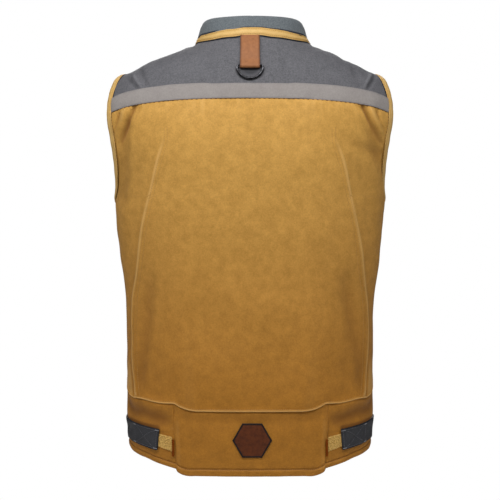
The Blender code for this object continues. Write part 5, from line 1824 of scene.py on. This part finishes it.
def build_zip_teeth(context):
    pitch = context.scene.vest_sizes.tooth_pitch
    lines = []
    run = np.concatenate([np.linspace(*part) for part in TOOTH_RUNS])
    for side, _ in SIDES:
        points = zip_sheet(np.full_like(run, side * TOOTH_BESIDE), run)
        slope = unit(np.gradient(points, axis=0))
        ways = unit(np.cross(slope, (1.0, 0.0, 0.0)))
        ways = ways * np.sign(ways[:, 1:2])
        lines.append((points + slope * (pitch / 4 * side)
                      - ways * (COLLAR_CLOTH + ZIP_TAPE_GAP - TOOTH_OUT), ways))
    tooth = laid_tree("zip_teeth", "GeometryNodeMeshCube", False, Size=(1.0, 1.0, 1.0))
    sew("zip_teeth", lines, "teeth", "zip_cloth", (pitch * 0.62, *TOOTH_SIZE), pitch, tree=tooth)


# Stage

FLOOR = -1.0
FLOOR_RADIUS = 1.25
FLOOR_SIDES = 96
LIGHTS_AIM = (0.0, 0.0, -0.30)
SENSOR_WIDTH = 36.0
Lamp = namedtuple("Lamp", "name place size power")


def build_stage(context):
    scene = context.scene
    stage = scene.vest_stage
    world = bpy.data.worlds.new("studio")
    world.use_nodes = True
    tree = world.node_tree
    tree.nodes.clear()
    # The paper behind the vest shows white, while its light on the vest stays low
    seen = add(tree, "ShaderNodeLightPath", output="Is Camera Ray")
    strength = add(tree, "ShaderNodeMapRange", {"Value": seen, "To Min": stage.fill, "To Max": 1.0})
    glow = add(tree, "ShaderNodeBackground", {"Color": (1.0, 1.0, 1.0, 1.0), "Strength": strength})
    add(tree, "ShaderNodeOutputWorld", {"Surface": glow}, output=None)
    scene.world = world

    # Matt white paper: even and unlit by itself, with a faint tooth
    paper, tree = new_tree("matt_white_paper")
    place = add(tree, "ShaderNodeTexCoord", output="Object")
    tooth = add(tree, "ShaderNodeTexNoise", {"Vector": place, "Scale": 60.0})
    tone = add(tree, "ShaderNodeMix", {0: tooth, 6: srgb("#E6E6E4"), 7: srgb("#ECECEA")}, output=2,
               data_type="RGBA")
    surface(tree, tone, tooth, 0.0002, {"Roughness": 0.9})
    turn = np.linspace(0, 2 * math.pi, FLOOR_SIDES, endpoint=False)
    ring = np.stack((np.sin(turn), np.cos(turn), turn * 0), axis=-1) * FLOOR_RADIUS
    vertices = np.concatenate((ring, [(0.0, 0.0, 0.0)])) + (0.0, 0.0, FLOOR)
    around = np.arange(FLOOR_SIDES)
    faces = np.stack((np.roll(around, -1), around, around * 0 + FLOOR_SIDES), axis=-1)
    mesh_object("paper_floor", vertices, faces.tolist(), paper, closed=False)

    lamps = (Lamp("key", (-0.12, -1.05, 0.85), (2.2, 0.5), stage.key),
             Lamp("left_fill", (-2.2, -1.0, -0.25), (1.0, 1.4), stage.side),
             Lamp("right_fill", (2.2, -1.0, -0.25), (1.0, 1.4), stage.side),
             Lamp("front_fill", (0.0, 2.2, 0.5), (1.6, 1.2), stage.front))
    for lamp in lamps:
        light = bpy.data.lights.new(lamp.name, "AREA")
        light.shape = "RECTANGLE"
        light.size, light.size_y = lamp.size
        light.energy = lamp.power
        thing = linked(lamp.name, light)
        thing.location = lamp.place
        aim = Vector(LIGHTS_AIM) - Vector(lamp.place)
        thing.rotation_euler = aim.to_track_quat("-Z", "Y").to_euler()
        thing.visible_camera = False

    camera = bpy.data.cameras.new("camera")
    camera.lens = stage.lens
    camera.sensor_width = SENSOR_WIDTH
    camera.clip_end = 20.0
    thing = linked("camera", camera)
    thing.location = (0.0, -stage.distance, stage.height)
    thing.rotation_euler = (math.pi / 2, 0.0, 0.0)
    scene.camera = thing
    scene.view_settings.view_transform = "Standard"


class VEST_OT_back(bpy.types.Operator):
    """Cut and crease the canvas back"""
    bl_idname = "vest.back"
    bl_label = "Canvas back"

    def execute(self, context):
        build_back(context)
        return {"FINISHED"}


class VEST_OT_yoke(bpy.types.Operator):
    """Cut the twill yoke and lay the reflective tape over its seam"""
    bl_idname = "vest.yoke"
    bl_label = "Yoke and reflective tape"

    def execute(self, context):
        build_yoke(context)
        build_band(context)
        return {"FINISHED"}


class VEST_OT_hem(bpy.types.Operator):
    """Cut the tail and the hem's sides"""
    bl_idname = "vest.hem"
    bl_label = "Tail and hem"

    def execute(self, context):
        build_tail(context)
        build_hem_sides(context)
        return {"FINISHED"}


class VEST_OT_fronts(bpy.types.Operator):
    """Cut and crease the two fronts"""
    bl_idname = "vest.fronts"
    bl_label = "Fronts"

    def execute(self, context):
        build_fronts(context)
        return {"FINISHED"}


class VEST_OT_collar(bpy.types.Operator):
    """Make the knit collar and the tape at its foot"""
    bl_idname = "vest.collar"
    bl_label = "Collar and neck tape"

    def execute(self, context):
        build_collar(context)
        build_neck_tape(context)
        return {"FINISHED"}


class VEST_OT_bindings(bpy.types.Operator):
    """Fold the tape over the armholes' edges"""
    bl_idname = "vest.bindings"
    bl_label = "Armhole bindings"

    def execute(self, context):
        build_bindings(context)
        return {"FINISHED"}


class VEST_OT_tabs(bpy.types.Operator):
    """Lay the side tabs and the loop pile they close on"""
    bl_idname = "vest.tabs"
    bl_label = "Tabs and loop pile"

    def execute(self, context):
        build_tabs(context)
        return {"FINISHED"}


class VEST_OT_badge(bpy.types.Operator):
    """Cut the plain leather badge"""
    bl_idname = "vest.badge"
    bl_label = "Badge"

    def execute(self, context):
        build_badge(context)
        return {"FINISHED"}


class VEST_OT_hang_loop(bpy.types.Operator):
    """Fold the hang loop and bend its ring"""
    bl_idname = "vest.hang_loop"
    bl_label = "Hang loop and ring"

    def execute(self, context):
        build_hang_loop(context)
        build_ring(context)
        return {"FINISHED"}


class VEST_OT_zip(bpy.types.Operator):
    """Make the zip's tapes and teeth and finish its slider and pull"""
    bl_idname = "vest.zip"
    bl_label = "Zip"

    def execute(self, context):
        build_zip_tapes(context)
        build_zip_teeth(context)
        dress_metal(context)
        return {"FINISHED"}


class VEST_OT_sewing(bpy.types.Operator):
    """Sew the cloth with its rows of stitches and bar tacks"""
    bl_idname = "vest.sewing"
    bl_label = "Sewing"

    def execute(self, context):
        build_sewing(context)
        build_tab_sewing(context)
        return {"FINISHED"}


class VEST_OT_stage(bpy.types.Operator):
    """Set up the paper floor, the lights and the camera"""
    bl_idname = "vest.stage"
    bl_label = "Stage"

    def execute(self, context):
        build_stage(context)
        return {"FINISHED"}


OPERATORS = (VEST_OT_back, VEST_OT_yoke, VEST_OT_hem, VEST_OT_fronts, VEST_OT_collar,
             VEST_OT_bindings, VEST_OT_tabs, VEST_OT_badge, VEST_OT_hang_loop, VEST_OT_zip,
             VEST_OT_sewing, VEST_OT_stage)


class VEST_PT_panel(bpy.types.Panel):
    """Lists the vest's sizes, colours and pieces"""
    bl_idname = "VEST_PT_panel"
    bl_label = "Field vest"
    bl_space_type = "VIEW_3D"
    bl_region_type = "UI"
    bl_category = "Field vest"

    def draw(self, context):
        for group in (context.scene.vest_colours, context.scene.vest_sizes,
                      context.scene.vest_stage):
            for name in group.__annotations__:
                self.layout.prop(group, name)
        for operator in OPERATORS:
            self.layout.operator(operator.bl_idname)


GROUPS = {"vest_colours": VestColours, "vest_sizes": VestSizes, "vest_stage": VestStage}


def register():
    for kind in (*GROUPS.values(), *OPERATORS, VEST_PT_panel):
        bpy.utils.register_class(kind)
    for name, kind in GROUPS.items():
        setattr(bpy.types.Scene, name, PointerProperty(type=kind))


def unregister():
    for name in GROUPS:
        delattr(bpy.types.Scene, name)
    for kind in (VEST_PT_panel, *reversed(OPERATORS), *reversed(tuple(GROUPS.values()))):
        bpy.utils.unregister_class(kind)


def main():
    register()
    for operator in OPERATORS:
        group, name = operator.bl_idname.split(".")
        getattr(getattr(bpy.ops, group), name)()


if __name__ == "__main__":
    main()
